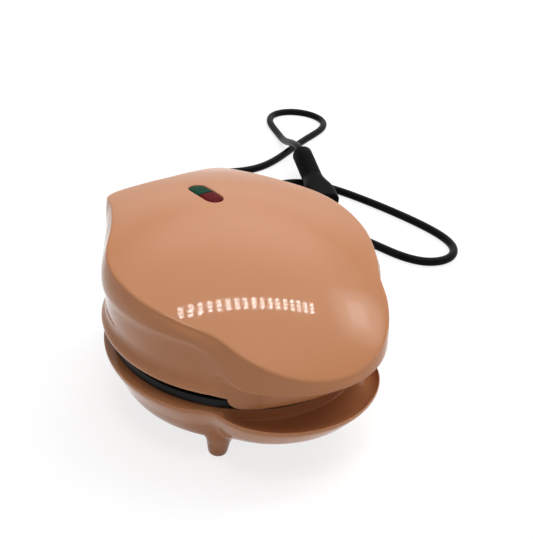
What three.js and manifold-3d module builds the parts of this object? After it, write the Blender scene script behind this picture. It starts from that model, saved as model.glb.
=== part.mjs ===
// A mini waffle maker: two round moulded shells with thumb tongues, hinged at the back,
// two cast waffle plates with their heaters, an indicator window, and a mains lead with its plug.
// Millimetres, +Z up, the front looks along -Y, the hinge is at the back.
import * as THREE from 'three';
import { mergeVertices } from 'three/addons/utils/BufferGeometryUtils.js';
import Module from 'manifold-3d';

const wasm = await Module();
wasm.setup();

// Sizes of the whole

const rimRadius = 75;
const bodyHeight = 112;
const wall = 2.5;
const gap = 0.3;
const edgeRound = 1.8;

// The dome of the lid: an elliptic paraboloid whose crest lies behind the middle

const domeCrest = 32.2;
const domeRadiusAcross = 264;
const domeRadiusAlong = 162.3;

// Heights of the shells' own lines above the table

const bellyHeight = 9;
const baseRimHeight = 36.6;
const plateSeatHeight = 38.1;
const skirtHeight = 42;
const bulgeHeight = 46.2;
const lidRimHeight = 48.3;
const tongueHeight = 59.2;
const flareHeight = 59;
const creaseHeight = 78.3;

// Outlines seen from above: [degrees from the front, share of the rim's radius]

const lidOutlineShares = [
  [0, 1.22], [15, 1.2], [28, 1.15], [38, 1.09], [48, 1.02], [60, 1.022], [80, 1.055],
  [100, 1.045], [120, 0.955], [132, 0.96], [142, 1.015], [152, 1.115], [165, 1.01], [180, 0.95],
];
const baseOutlineShares = [
  [0, 1.23], [15, 1.208], [28, 1.154], [38, 1.075], [48, 0.967], [60, 0.995], [80, 1],
  [120, 0.99], [180, 1],
];

// Where the front features begin and end, in degrees to each side of the front

const tongueSpan = [42, 49];
const shoulderSpan = [34, 60];
const skirtSpan = [35.6, 41.8];
const bulgeSpan = [4, 29];

// The lid's wall under its crease

const bulgeReach = 7;
const flareReach = 1.7;
const shoulderReach = 1.5;
const tongueReach = 1.2;
const lidWallInset = 0.6;
const lidWallRadius = rimRadius - lidWallInset;
const lidLipInset = 4.7;
const lidLipRadius = rimRadius - lidLipInset;
const lidLipHeight = 2.6;
const creaseOverhang = 2;
const creaseRadius = rimRadius + creaseOverhang;
const creaseShare = 0.6;

// The base's belly: [share of the height from rim to belly, share of the radius, share of the tongue]

const bellyShares = [
  [0.03, 0.998, 1], [0.1, 0.992, 1], [0.22, 0.963, 1], [0.36, 0.926, 1], [0.5, 0.879, 0.93],
  [0.65, 0.834, 0.76], [0.82, 0.79, 0.2], [0.93, 0.76, 0], [1, 0.711, 0],
];
const cavityShares = [
  [0, 0.66], [0.12, 0.745], [0.33, 0.803], [0.52, 0.853], [0.72, 0.888], [0.97, 0.899],
];
const seatInset = 5.1;
const seatRadius = rimRadius - seatInset;
const dishDepth = 6.2;
// [share from seat to rim, share of the dish's depth] across the tongue's dish
const dishShares = [[0.14, 0.1], [0.26, 0.65], [0.42, 0.95], [0.66, 1], [0.86, 0.68], [0.955, 0.16], [0.985, 0]];

// Legs

const legInset = 33.5;
const legReach = rimRadius - legInset;
const legProfile = [
  [4.2, 0], [5.2, 0.8], [6.5, 8.5], [7.7, 12.6], [8.2, 15.5], [6.4, 19.5], [2.6, 22],
];

// Waffle plates

const plateInset = 5.2;
const plateRadius = rimRadius - plateInset;
const upperPlateInset = 6.4;
const upperPlateRadius = rimRadius - upperPlateInset;
const plateGap = 1;
const plateFloorDepth = 8;
const plateThickness = 3;
const flangeHeight = 4.6;
const cavityInset = 13;
const cavityRadius = rimRadius - cavityInset;
const pegSize = 10;
const pegPitch = 16;
const pegHeight = 5.5;
const pegTopShare = 0.78;

// Heaters, shields, thermostats and screws

const heaterRadius = 46.5;
const heaterTube = 3.25;
const heaterOpening = 50;
const terminalLength = 9;
const shieldInset = 4;
const shieldRadius = cavityRadius - shieldInset;
const shieldThickness = 1;
const bossRadius = 4.5;
const bossHeight = 8;
const shankRadius = 1.6;
const headRadius = 2.9;
const headHeight = 2;
const thermostatRadius = 8;
const thermostatHeight = 6;
// The screws stand where the grooves between the pegs cross
const screwPlaces = [[0, -2], [2, 1], [-2, 1]].map((place) => place.map((steps) => steps * pegPitch));

// Hinge

const hingeReach = 5;
const hingeY = rimRadius + hingeReach;
const hingeZ = 45;
const barrelRadius = 6.5;
const boreRadius = 2.2;
const pinRadius = 2.15;
const pinHeadRadius = 3.4;
const pinHeadHeight = 1.5;
const middleKnuckle = 36;
const sideKnuckle = 12;
const knuckleGap = 0.5;
const barrelClearance = 0.8;
const webThickness = 9;
const sleeveRadius = 1.9;
const sleeveLength = 10;

// Indicator window and lamps

const windowY = 35.6;
const windowWidth = 10.8;
const windowLength = 25.2;
const windowDepth = 4.5;
const lensCrown = 0.7;
const lampRadius = 2.6;
const lampLength = 9;
const holderDepth = 10;
const holderWall = 1.5;

// Mains lead, gland and plug

const cordRadius = 3.2;
const cordSides = 8;
const cordSteps = 70;
const glandLength = 34;
const glandRadius = 6.2;
const glandTip = 4.3;
const glandHeight = 22;
const glandRibs = 5;
const ribDepth = 0.7;
const plugLength = 75;
const plugHeight = 8.5;
const plugFaceWidth = 13.5;
const gripRibs = 6;
const pinLength = 19;
const pinSeat = 6;
const plugPinRadius = 2;
const plugPinPitch = 9.5;

// The lead's route behind the body, chosen by hand: out of the gland, down to the table, round
// the right in a long loop, back behind the body and round again over itself to the plug's collar
const cordRoute = [
  [0, 99, 22], [0, 114, 21], [3, 132, 11], [16, 150, 4], [48, 166, 3.2], [94, 170, 3.2],
  [138, 162, 3.2], [172, 140, 3.2], [193, 108, 3.2], [200, 80, 3.2], [203, 56, 3.2], [213, 37, 3.2],
  [233, 31, 3.2], [251, 40, 3.2], [259, 61, 3.2], [257, 98, 3.2], [248, 148, 3.2],
  [235, 186, 3.2], [210, 201, 3.2], [180, 193, 3.2], [151, 188, 3.2], [126, 202, 3.2],
  [121, 228, 3.2], [141, 249, 3.2], [171, 244, 3.2], [200, 231, 3.2],
  [230, 235.5, 3.2], [265, 251, 3.2], [295.1, 263.7, 3.2], [327.1, 274, 3.2], [342.4, 289.4, 3.2],
  [342.8, 311.1, 3.2], [328, 327, 3.2], [306.3, 328.1, 3.2], [289.9, 313.9, 3.2],
  [279.7, 287.1, 3.2], [268.8, 265.8, 4.6], [258.3, 245.3, 13.5], [246.4, 222, 20.7],
  [241, 211.5, 19],
];

// Colours

const colours = {
  salmon: { color: 0xcb987a, roughness: 0.25, metalness: 0 },
  black: { color: 0x161616, roughness: 0.5, metalness: 0 },
  nonStick: { color: 0x1e1f1f, roughness: 0.42, metalness: 0.2 },
  steel: { color: 0xb9bbbd, roughness: 0.32, metalness: 1 },
  tin: { color: 0x9da0a2, roughness: 0.5, metalness: 1 },
  ceramic: { color: 0xe7e2d6, roughness: 0.6, metalness: 0 },
  greenLens: { color: 0x0f4a36, roughness: 0.15, metalness: 0 },
  redLens: { color: 0x5e1220, roughness: 0.15, metalness: 0 },
  glass: { color: 0xd9dcd8, roughness: 0.05, metalness: 0 },
  brass: { color: 0xb8a15c, roughness: 0.3, metalness: 1 },
};

// Small helpers

const radians = THREE.MathUtils.degToRad;
const mix = THREE.MathUtils.lerp;

// Bare merged triangles that all face outward, whichever way the profile was drawn
const clean = (geometry) => {
  const bare = geometry.index ? geometry.toNonIndexed() : geometry.clone();
  bare.deleteAttribute('normal');
  bare.deleteAttribute('uv');
  const merged = mergeVertices(bare, 1e-4);
  const { array } = merged.attributes.position;
  const index = merged.index.array;
  const corner = (i) => new THREE.Vector3().fromArray(array, 3 * index[i]);
  let volume = 0;
  for (let i = 0; i < index.length; i += 3) volume += corner(i).dot(corner(i + 1).cross(corner(i + 2)));
  if (volume < 0) index.reverse();
  return merged;
};

const toSolid = (geometry) => {
  const bare = clean(geometry);
  return new wasm.Manifold(new wasm.Mesh({
    numProp: 3,
    vertProperties: new Float32Array(bare.attributes.position.array),
    triVerts: new Uint32Array(bare.index.array),
  }));
};

const fromSolid = (solid) => {
  const mesh = solid.getMesh();
  const geometry = new THREE.BufferGeometry();
  geometry.setAttribute('position', new THREE.Float32BufferAttribute(mesh.vertProperties, 3));
  geometry.setIndex(Array.from(mesh.triVerts));
  return geometry;
};

const join = (...pieces) => fromSolid(pieces.map(toSolid).reduce((a, b) => a.add(b)));
const cut = (piece, ...tools) => fromSolid(tools.map(toSolid).reduce((a, b) => a.subtract(b), toSolid(piece)));

// A value read from a table of [degrees, value], smooth and the same on both sides of the front
const readTable = (table, degrees) => {
  const turn = Math.abs(((degrees + 540) % 360) - 180);
  const last = table.length - 1;
  const slope = (i) => {
    if (i === 0 || i === last) return 0;
    return (table[i + 1][1] - table[i - 1][1]) / (table[i + 1][0] - table[i - 1][0]);
  };
  let i = 0;
  while (i < last - 1 && turn > table[i + 1][0]) i += 1;
  const width = table[i + 1][0] - table[i][0];
  const t = (turn - table[i][0]) / width;
  const rise = 3 * t * t - 2 * t * t * t;
  const start = t - 2 * t * t + t * t * t;
  const end = t * t * t - t * t;
  return mix(table[i][1], table[i + 1][1], rise) + width * (start * slope(i) + end * slope(i + 1));
};

// One inside the span's first angle, none past its second, with a soft or a quarter-round fall
const softFall = (degrees, [from, to]) => 1 - THREE.MathUtils.smoothstep(Math.abs(degrees), from, to);
const roundFall = (degrees, [from, to]) => {
  const t = THREE.MathUtils.clamp((Math.abs(degrees) - from) / (to - from), 0, 1);
  return Math.sqrt(1 - t * t);
};

// The skin of a turned body whose profile changes with the angle. Each profile runs from the axis
// to the axis, so the skin closes by itself.
const turnedSkin = (angles, profileAt) => {
  const rows = angles.map(profileAt);
  const count = rows[0].length;
  const positions = [0, 0, rows[0][0][1], 0, 0, rows[0][count - 1][1]];
  angles.forEach((degrees, column) => {
    const a = radians(degrees);
    rows[column].slice(1, -1).forEach(([r, z]) => positions.push(r * Math.sin(a), -r * Math.cos(a), z));
  });
  const index = [];
  const vertex = (column, row) => 2 + (column % angles.length) * (count - 2) + row;
  angles.forEach((_, column) => {
    index.push(0, vertex(column, 0), vertex(column + 1, 0));
    for (let row = 0; row < count - 3; row += 1) {
      index.push(vertex(column, row), vertex(column, row + 1), vertex(column + 1, row));
      index.push(vertex(column + 1, row), vertex(column, row + 1), vertex(column + 1, row + 1));
    }
    index.push(vertex(column, count - 3), 1, vertex(column + 1, count - 3));
  });
  const geometry = new THREE.BufferGeometry();
  geometry.setAttribute('position', new THREE.Float32BufferAttribute(positions, 3));
  geometry.setIndex(index);
  return geometry;
};

// A body turned about an upright axis from [radius, height] points
const turned = (profile, segments = 48) => {
  const points = profile.map(([r, z]) => new THREE.Vector2(r, z));
  return new THREE.LatheGeometry(points, segments).rotateX(Math.PI / 2);
};

const rod = (radius, from, to, segments = 14) => {
  const length = to.distanceTo(from);
  const geometry = new THREE.CylinderGeometry(radius, radius, length, segments);
  const turn = new THREE.Quaternion().setFromUnitVectors(
    new THREE.Vector3(0, 1, 0),
    to.clone().sub(from).normalize(),
  );
  const middle = from.clone().lerp(to, 1 / 2);
  return geometry.applyQuaternion(turn).translate(middle.x, middle.y, middle.z);
};

const upright = (radius, x, y, low, high, segments = 10) => rod(
  radius,
  new THREE.Vector3(x, y, low),
  new THREE.Vector3(x, y, high),
  segments,
);

const block = (x, y, z) => new THREE.BoxGeometry(x[1] - x[0], y[1] - y[0], z[1] - z[0])
  .translate((x[0] + x[1]) / 2, (y[0] + y[1]) / 2, (z[0] + z[1]) / 2);

// A body through closed rings of points, with a fan over each end
const loft = (rings) => {
  const sides = rings[0].length;
  const positions = rings.flat().flatMap((p) => [p.x, p.y, p.z]);
  const ends = [rings[0], rings[rings.length - 1]].map((ring) => {
    const middle = ring.reduce((sum, p) => sum.add(p), new THREE.Vector3()).divideScalar(sides);
    positions.push(middle.x, middle.y, middle.z);
    return positions.length / 3 - 1;
  });
  const index = [];
  for (let side = 0; side < sides; side += 1) {
    const next = (side + 1) % sides;
    index.push(ends[0], next, side);
    for (let ring = 0; ring < rings.length - 1; ring += 1) {
      const a = ring * sides;
      const b = a + sides;
      index.push(a + side, a + next, b + side);
      index.push(a + next, b + next, b + side);
    }
    const top = (rings.length - 1) * sides;
    index.push(ends[1], top + side, top + next);
  }
  const geometry = new THREE.BufferGeometry();
  geometry.setAttribute('position', new THREE.Float32BufferAttribute(positions, 3));
  geometry.setIndex(index);
  return geometry;
};

// The columns of both shells: close together at the tongues and the lid's rear corners

const columnsThrough = (stops) => {
  const half = stops.flatMap(([from, to, count]) => (
    Array.from({ length: count }, (_, i) => mix(from, to, i / count))
  ));
  return [...half, 180, ...half.slice(1).reverse().map((degrees) => -degrees)];
};
const lidColumns = columnsThrough([[0, 50, 11], [50, 122, 6], [122, 180, 8]]);
const baseColumns = columnsThrough([[0, 51, 11], [51, 180, 8]]);

// Lid shell

const domeHeight = (x, y) => bodyHeight - x * x / (2 * domeRadiusAcross)
  - (y - domeCrest) ** 2 / (2 * domeRadiusAlong);

const domeRings = [0.4, 0.7, 0.9];
const flankRows = 5;

const lidProfile = (degrees) => {
  const a = radians(degrees);
  const edge = rimRadius * readTable(lidOutlineShares, degrees);
  const dome = (r) => domeHeight(r * Math.sin(a), -r * Math.cos(a));
  const edgeHeight = dome(edge);
  const tongue = softFall(degrees, tongueSpan);
  const blend = (row) => softFall(
    degrees,
    tongueSpan.map((end, i) => mix(shoulderSpan[i], end, Math.min(row / flankRows, 1))),
  );
  const bulge = roundFall(degrees, bulgeSpan);
  const skirt = mix(lidRimHeight - gap, skirtHeight, roundFall(degrees, skirtSpan));
  const crease = mix(edge, creaseRadius, creaseShare);
  const bulgeRadius = rimRadius + bulgeReach * bulge;
  const inner = rimRadius - wall;
  const round = (out, down) => [edge + out * edgeRound, edgeHeight - down * edgeRound];

  const side = (share, reach) => [mix(edge, crease, share) + reach * shoulderReach, mix(edgeHeight, creaseHeight, share)];
  const flank = (share) => [mix(crease, lidWallRadius, share), mix(creaseHeight, flareHeight, share)];
  const flare = (share, reach) => [lidWallRadius + reach * flareReach, mix(flareHeight, lidRimHeight, share)];
  const sideWall = [
    side(0.35, 0.9), side(0.75, 1), flank(0), flank(0.5), flank(1),
    flare(0.4, 0.45), flare(0.7, 1), flare(0.9, 0.9), flare(1, 0.3),
    [mix(lidWallRadius, inner, 0.4), lidRimHeight], [inner, lidRimHeight],
    [mix(inner, lidLipRadius, 0.4), lidRimHeight],
  ];

  const front = (share) => [edge + tongueReach * Math.sqrt(share), mix(edgeHeight - edgeRound, tongueHeight, share)];
  const under = (share, depth) => [
    mix(rimRadius, bulgeRadius, share),
    mix(tongueHeight, mix(skirt, bulgeHeight, bulge), depth),
  ];
  const frontWall = [
    front(0.3), front(0.65), front(0.92), [edge + tongueReach * 0.75, tongueHeight],
    [mix(bulgeRadius, edge, 0.12), tongueHeight + gap],
    under(1, 0.3), under(0.97, 0.7), under(0.75, 0.95), under(0.3, 1),
    [rimRadius - gap, skirt], [inner, skirt], [inner - gap, mix(skirt, lidRimHeight, 0.95)],
  ];

  const outer = sideWall.map(([r, z], i) => [mix(r, frontWall[i][0], blend(i)), mix(z, frontWall[i][1], blend(i))]);
  const innerEdge = edge - wall;
  const shelf = mix(mix(flareHeight, creaseHeight, 0.15), tongueHeight + wall, tongue);
  const corner = [
    mix(crease - wall, innerEdge, tongue),
    mix(creaseHeight - gap, tongueHeight + wall, tongue),
  ];
  return [
    [0, dome(0)],
    ...domeRings.map((share) => [share * edge, dome(share * edge)]),
    [edge - edgeRound, dome(edge - edgeRound) - 0.08 * edgeRound],
    round(-0.45, 0.12), round(-0.05, 0.5), round(0.12, 1),
    ...outer,
    [lidLipRadius, lidRimHeight + gap], [lidLipRadius, lidRimHeight + lidLipHeight],
    [inner - gap, lidRimHeight + lidLipHeight + gap], [inner, shelf],
    corner, [innerEdge, dome(innerEdge) - wall],
    ...domeRings.slice(0, -1).reverse().map((share) => [share * edge, dome(share * edge) - wall]),
    [0, dome(0) - wall],
  ];
};

const hingePoint = (x) => new THREE.Vector3(x, hingeY, hingeZ);
const knuckleStart = middleKnuckle / 2 + knuckleGap;
const knuckleEnd = knuckleStart + sideKnuckle;
const sides = [-1, 1];

// A post that hangs from the dome and takes a plate screw
const plateTop = lidRimHeight + plateThickness + plateFloorDepth - flangeHeight + gap;
const upperShieldLow = plateTop + bossHeight + gap;
const lidPostLow = upperShieldLow + shieldThickness + gap;
const postDepth = 12;
const lidPosts = screwPlaces.map(([x, y]) => upright(bossRadius, x, y, lidPostLow, domeHeight(x, y) - wall / 2));
const lidPilots = screwPlaces.map(([x, y]) => upright(shankRadius + gap / 2, x, y, lidPostLow - gap, lidPostLow + postDepth));

const windowShape = (width, length) => {
  const radius = width / 2;
  const half = length / 2 - radius;
  const shape = new THREE.Shape();
  shape.absarc(0, half, radius, 0, Math.PI, false);
  shape.absarc(0, -half, radius, Math.PI, 2 * Math.PI, false);
  shape.closePath();
  return shape;
};
const windowTop = domeHeight(0, windowY);
const windowHole = new THREE.ExtrudeGeometry(windowShape(windowWidth, windowLength), {
  depth: 4 * wall,
  bevelEnabled: false,
  curveSegments: 6,
}).translate(0, windowY, windowTop - 2 * wall);

const lidKnuckles = sides.flatMap((sign) => {
  const x = [knuckleStart, knuckleEnd].map((value) => sign * value).sort((a, b) => a - b);
  return [
    rod(barrelRadius, hingePoint(x[0]), hingePoint(x[1])),
    block(x, [rimRadius - 3.8 * wall, hingeY + barrelRadius / 2], [lidRimHeight + gap, lidRimHeight + webThickness]),
  ];
});
const hingeBore = rod(boreRadius, hingePoint(-2 * knuckleEnd), hingePoint(2 * knuckleEnd));
const hingeRoom = rod(
  barrelRadius + barrelClearance,
  hingePoint(-knuckleStart),
  hingePoint(knuckleStart),
  24,
);

const lidShell = cut(
  join(
    cut(turnedSkin(lidColumns, lidProfile), hingeRoom, windowHole),
    ...lidKnuckles,
    ...lidPosts,
  ),
  hingeBore,
  ...lidPilots,
);

// Base shell

const belly = (share) => mix(baseRimHeight, bellyHeight, share);

const baseProfile = (degrees) => {
  const edge = rimRadius * readTable(baseOutlineShares, degrees);
  const dish = THREE.MathUtils.smoothstep(edge / rimRadius, 1, 1.09);
  const fold = (shares, depth) => [
    mix(seatRadius, edge, shares),
    mix(plateSeatHeight, baseRimHeight, shares) - depth * dish * dishDepth,
  ];
  return [
    [0, bellyHeight + wall],
    ...cavityShares.map(([up, out]) => [rimRadius * out, mix(bellyHeight + wall, plateSeatHeight, up)]),
    [seatRadius, plateSeatHeight],
    ...dishShares.map(([out, down]) => fold(out, down)),
    [edge, baseRimHeight - gap],
    ...bellyShares.map(([down, out, reach]) => [mix(rimRadius, edge, reach) * out, belly(down)]),
    [0, bellyHeight],
  ];
};

// The room inside the base and half its wall, which its legs end in
const legRoom = turned([
  [0, bellyHeight + wall / 2],
  ...cavityShares.map(([up, out]) => [rimRadius * out + wall / 2, mix(bellyHeight + wall / 2, plateSeatHeight, up)]),
  [0, plateSeatHeight],
], 32);

const legs = sides.flatMap((x) => sides.map((y) => cut(turned([
  [0, 0],
  ...legProfile,
  [0, legProfile[legProfile.length - 1][1] + gap],
], 10).translate(x * legReach, y * legReach, 0), legRoom)));

const lowerPlateTop = plateSeatHeight + gap + flangeHeight;
const lowerPlateLow = lowerPlateTop - plateFloorDepth - plateThickness;
const lowerShieldLow = lowerPlateLow - bossHeight - gap - shieldThickness;
const basePostTop = lowerShieldLow - gap;
const headSeat = bellyHeight + wall + headHeight;
const basePosts = screwPlaces.map(([x, y]) => upright(bossRadius, x, y, bellyHeight + wall / 2, basePostTop));
const baseShanks = screwPlaces.map(([x, y]) => upright(shankRadius + gap / 2, x, y, 0, plateSeatHeight));
const baseHeads = screwPlaces.map(([x, y]) => upright(headRadius + gap, x, y, 0, headSeat));

const baseKnuckle = rod(
  barrelRadius,
  hingePoint(-middleKnuckle / 2),
  hingePoint(middleKnuckle / 2),
);
const baseWeb = block(
  [-middleKnuckle / 2, middleKnuckle / 2],
  [rimRadius - 2 * wall, hingeY + barrelRadius / 3],
  [hingeZ - barrelRadius - webThickness, hingeZ - barrelRadius / 3],
);
const glandHole = rod(
  glandRadius - ribDepth + gap,
  new THREE.Vector3(0, rimRadius / 2, glandHeight),
  new THREE.Vector3(0, 2 * rimRadius, glandHeight),
);

const baseShell = cut(
  join(
    turnedSkin(baseColumns, baseProfile),
    ...legs,
    ...basePosts,
    baseKnuckle,
    baseWeb,
  ),
  ...baseShanks,
  ...baseHeads,
  hingeBore,
  glandHole,
);

// Waffle plates: a cast dish with square pegs, its flange outward and its bosses on the back.
// Both are made face up, and the upper one is turned over.

const pegPlaces = [];
const pegRows = Math.floor(cavityRadius / pegPitch);
for (let i = -pegRows; i < pegRows; i += 1) {
  for (let j = -pegRows; j < pegRows; j += 1) {
    const [x, y] = [i, j].map((value) => (value + 1 / 2) * pegPitch);
    const reach = Math.hypot(Math.abs(x) + pegSize / 2, Math.abs(y) + pegSize / 2);
    if (reach < cavityRadius - gap) pegPlaces.push([x, y]);
  }
}

const peg = () => new THREE.CylinderGeometry(
  pegTopShare * pegSize * Math.SQRT1_2,
  pegSize * Math.SQRT1_2,
  pegHeight + plateThickness / 2,
  4,
).rotateX(Math.PI / 2).rotateZ(Math.PI / 4);

const wafflePlate = (radius) => {
  const floor = -plateFloorDepth;
  const back = floor - plateThickness;
  const dish = turned([
    [0, floor], [cavityRadius, floor],
    [cavityRadius + plateThickness / 2, -3 * gap], [cavityRadius + 0.75 * plateThickness, 0],
    [radius - gap, 0], [radius, -gap], [radius, -flangeHeight],
    [cavityRadius + plateThickness, -flangeHeight - gap],
    [cavityRadius + plateThickness / 3, back], [0, back],
  ], 24);
  const pegs = pegPlaces.map(([x, y]) => peg().translate(x, y, floor + pegHeight / 2 - plateThickness / 4));
  const bosses = screwPlaces.map(([x, y]) => upright(bossRadius, x, y, back - bossHeight, back + gap));
  return join(dish, ...pegs, ...bosses);
};

const lowerPilots = screwPlaces.map(([x, y]) => upright(
  shankRadius + gap / 2,
  x,
  y,
  lowerPlateLow - bossHeight - gap,
  lowerPlateLow - gap,
));
const lowerPlate = cut(wafflePlate(plateRadius).translate(0, 0, lowerPlateTop), ...lowerPilots);

const upperPlateFace = lowerPlateTop + plateGap;
const upperPlateFloor = upperPlateFace + plateFloorDepth;
const upperPlateBack = upperPlateFloor + plateThickness;
const throughHoles = screwPlaces.map(([x, y]) => upright(
  shankRadius + gap / 2,
  x,
  y,
  upperPlateFace,
  upperPlateBack + 2 * bossHeight,
));
const faceRecesses = screwPlaces.map(([x, y]) => upright(
  headRadius + gap,
  x,
  y,
  upperPlateFace,
  upperPlateFloor + headHeight,
));
const upperPlate = cut(
  wafflePlate(upperPlateRadius).scale(1, 1, -1).translate(0, 0, upperPlateFace),
  ...throughHoles,
  ...faceRecesses,
);

// Heaters: a steel tube bent to an open ring, its two cold ends turned away from the plate

const heaterPath = (plateBack, away) => {
  const middle = plateBack + away * (heaterTube + gap);
  const points = [];
  const arcSteps = 30;
  const half = heaterOpening / 2;
  for (let i = 0; i <= arcSteps; i += 1) {
    const a = radians(mix(half, 360 - half, i / arcSteps));
    points.push(new THREE.Vector3(heaterRadius * Math.sin(a), heaterRadius * Math.cos(a), middle));
  }
  const tail = (end, next) => {
    const out = end.clone().sub(next).normalize().multiplyScalar(terminalLength);
    return end.clone().add(out).setZ(middle + away * heaterTube / 2);
  };
  const first = tail(points[0], points[1]);
  const last = tail(points[arcSteps], points[arcSteps - 1]);
  return new THREE.CatmullRomCurve3([first, ...points, last]);
};

const circle = (radius, sidesCount) => {
  const shape = new THREE.Shape();
  for (let i = 0; i < sidesCount; i += 1) {
    const a = 2 * Math.PI * i / sidesCount;
    const point = [radius * Math.cos(a), radius * Math.sin(a)];
    if (i === 0) shape.moveTo(...point);
    else shape.lineTo(...point);
  }
  shape.closePath();
  return shape;
};

const tube = (path, radius, sidesCount, steps) => new THREE.ExtrudeGeometry(
  circle(radius, sidesCount),
  { steps, extrudePath: path, bevelEnabled: false },
);

const heaterSides = 6;
const heaterSteps = 20;
const lowerHeater = tube(heaterPath(lowerPlateLow, -1), heaterTube, heaterSides, heaterSteps);
const upperHeater = tube(heaterPath(upperPlateBack, 1), heaterTube, heaterSides, heaterSteps);

// Heat shields: pressed steel dishes with a raised rim, between the posts and the plates' bosses

const shield = (low, away) => {
  const rimUp = 3 * shieldThickness;
  const dish = turned([
    [0, 0], [shieldRadius - rimUp, 0], [shieldRadius, rimUp], [shieldRadius, rimUp + shieldThickness],
    [shieldRadius - shieldThickness, rimUp + shieldThickness],
    [shieldRadius - rimUp - shieldThickness / 3, shieldThickness], [0, shieldThickness],
  ], 16);
  const placed = away > 0 ? dish.translate(0, 0, low) : dish.scale(1, 1, -1).translate(0, 0, low + shieldThickness);
  const holes = screwPlaces.map(([x, y]) => upright(shankRadius + gap / 2, x, y, low - wall, low + wall));
  return cut(placed, ...holes);
};
const lowerShield = shield(lowerShieldLow, 1);
const upperShield = shield(upperShieldLow, -1);

// Thermostats: a flanged cap with two tabs, against the middle of each plate's back

const thermostat = (plateBack, away) => {
  const tabWidth = thermostatRadius / 2;
  const body = turned([
    [0, 0], [thermostatRadius, 0], [thermostatRadius, 1.2 * shieldThickness],
    [0.8 * thermostatRadius, 1.6 * shieldThickness], [0.8 * thermostatRadius, thermostatHeight],
    [0, thermostatHeight],
  ], 12);
  const tabs = sides.map((sign) => {
    const x = [0.6 * thermostatRadius, thermostatRadius + tabWidth].map((value) => sign * value);
    return block(
      x.sort((a, b) => a - b),
      [-tabWidth / 2, tabWidth / 2],
      [thermostatHeight - 2 * shieldThickness, thermostatHeight - shieldThickness],
    );
  });
  const whole = join(body, ...tabs);
  if (away < 0) return whole.scale(1, 1, -1).translate(0, 0, plateBack - gap);
  return whole.translate(0, 0, plateBack + gap);
};
const lowerThermostat = thermostat(lowerPlateLow, -1);
const upperThermostat = thermostat(upperPlateBack, 1);

// Thermal fuse: a crimped cartridge lying on the upper plate's back

const fuseRadius = 2;
const fuseLength = 13;
const fuseNeck = 1;
const fuseY = -14;
const thermalFuse = turned([
  [0, 0], [0.5 * fuseRadius, 0], [0.5 * fuseRadius, fuseNeck], [fuseRadius, fuseNeck + gap],
  [fuseRadius, fuseLength - fuseNeck - gap], [0.5 * fuseRadius, fuseLength - fuseNeck],
  [0.5 * fuseRadius, fuseLength], [0, fuseLength],
], 10).rotateY(Math.PI / 2).translate(-fuseLength / 2, fuseY, upperPlateBack + gap + fuseRadius);

// Screws: a pan head with a cross recess and a plain shank

const screw = (length) => {
  const head = turned([
    [0, 0], [0.72 * headRadius, 0], [headRadius, 0.35 * headHeight], [headRadius, headHeight - gap],
    [shankRadius, headHeight - gap], [shankRadius, length - shankRadius], [0, length],
  ], 8);
  const slot = 0.22 * headRadius;
  const reach = 0.62 * headRadius;
  const depth = 0.45 * headHeight;
  return cut(
    head,
    block([-slot, slot], [-reach, reach], [-depth, depth]),
    block([-reach, reach], [-slot, slot], [-depth, depth]),
  );
};
const lowerHeadLow = bellyHeight + wall;
const lowerScrewLength = lowerPlateLow - 3 * gap - lowerHeadLow - wall;
const upperHeadLow = upperPlateFloor + gap;
const upperScrewLength = lidPostLow + postDepth - wall - upperHeadLow;

// Hinge pins with their heads outside, and the sleeve that leads the lid's wires between them

const pinEnd = sleeveLength / 2 + gap;
const hingePin = (sign) => {
  const end = sign * (knuckleEnd + gap);
  return join(
    rod(pinRadius, hingePoint(sign * pinEnd), hingePoint(end + sign * pinHeadHeight / 2)),
    rod(pinHeadRadius, hingePoint(end), hingePoint(end + sign * pinHeadHeight)),
  );
};
const leadSleeve = cut(
  rod(sleeveRadius, hingePoint(-sleeveLength / 2), hingePoint(sleeveLength / 2)),
  rod(sleeveRadius / 2, hingePoint(-sleeveLength), hingePoint(sleeveLength)),
);

// Indicator: two half lenses in the window, over a holder with two lamps

const lensHalf = (sign) => {
  const width = windowWidth - 2 * gap;
  const radius = width / 2;
  const far = windowLength / 2 - gap - radius;
  const shape = new THREE.Shape();
  shape.moveTo(radius, gap / 2);
  shape.lineTo(radius, far);
  shape.absarc(0, far, radius, 0, Math.PI, false);
  shape.lineTo(-radius, gap / 2);
  shape.closePath();
  const slab = new THREE.ExtrudeGeometry(shape, {
    depth: windowDepth - lensCrown,
    bevelEnabled: false,
    curveSegments: 6,
  });
  const crown = new THREE.ExtrudeGeometry(shape, {
    depth: lensCrown / 3,
    bevelEnabled: true,
    bevelThickness: lensCrown / 3,
    bevelSize: lensCrown,
    bevelOffset: -lensCrown,
    bevelSegments: 2,
    curveSegments: 6,
  }).translate(0, 0, windowDepth - lensCrown - gap / 2);
  const whole = join(slab, crown);
  return whole.rotateZ(sign > 0 ? 0 : Math.PI).translate(0, windowY, windowTop - windowDepth + lensCrown);
};

const holderTop = windowTop - wall - 4 * gap;
const holderLow = holderTop - holderDepth;
const roomWidth = windowWidth + 2 * gap;
const roomLength = windowLength + 2 * gap;
const lampRoom = (sign) => {
  const y = [holderWall / 2, roomLength / 2].map((value) => windowY + sign * value);
  return block([-roomWidth / 2, roomWidth / 2], y.sort((a, b) => a - b), [holderLow + holderWall, 2 * holderTop]);
};
const lensRoom = block(
  [-roomWidth / 2, roomWidth / 2],
  [windowY - roomLength / 2, windowY + roomLength / 2],
  [windowTop - windowDepth + lensCrown - gap, 2 * holderTop],
);
const lampHolder = cut(
  block(
    [-roomWidth / 2 - holderWall, roomWidth / 2 + holderWall],
    [windowY - roomLength / 2 - holderWall, windowY + roomLength / 2 + holderWall],
    [holderLow, holderTop],
  ),
  lampRoom(1),
  lampRoom(-1),
  lensRoom,
);

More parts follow.
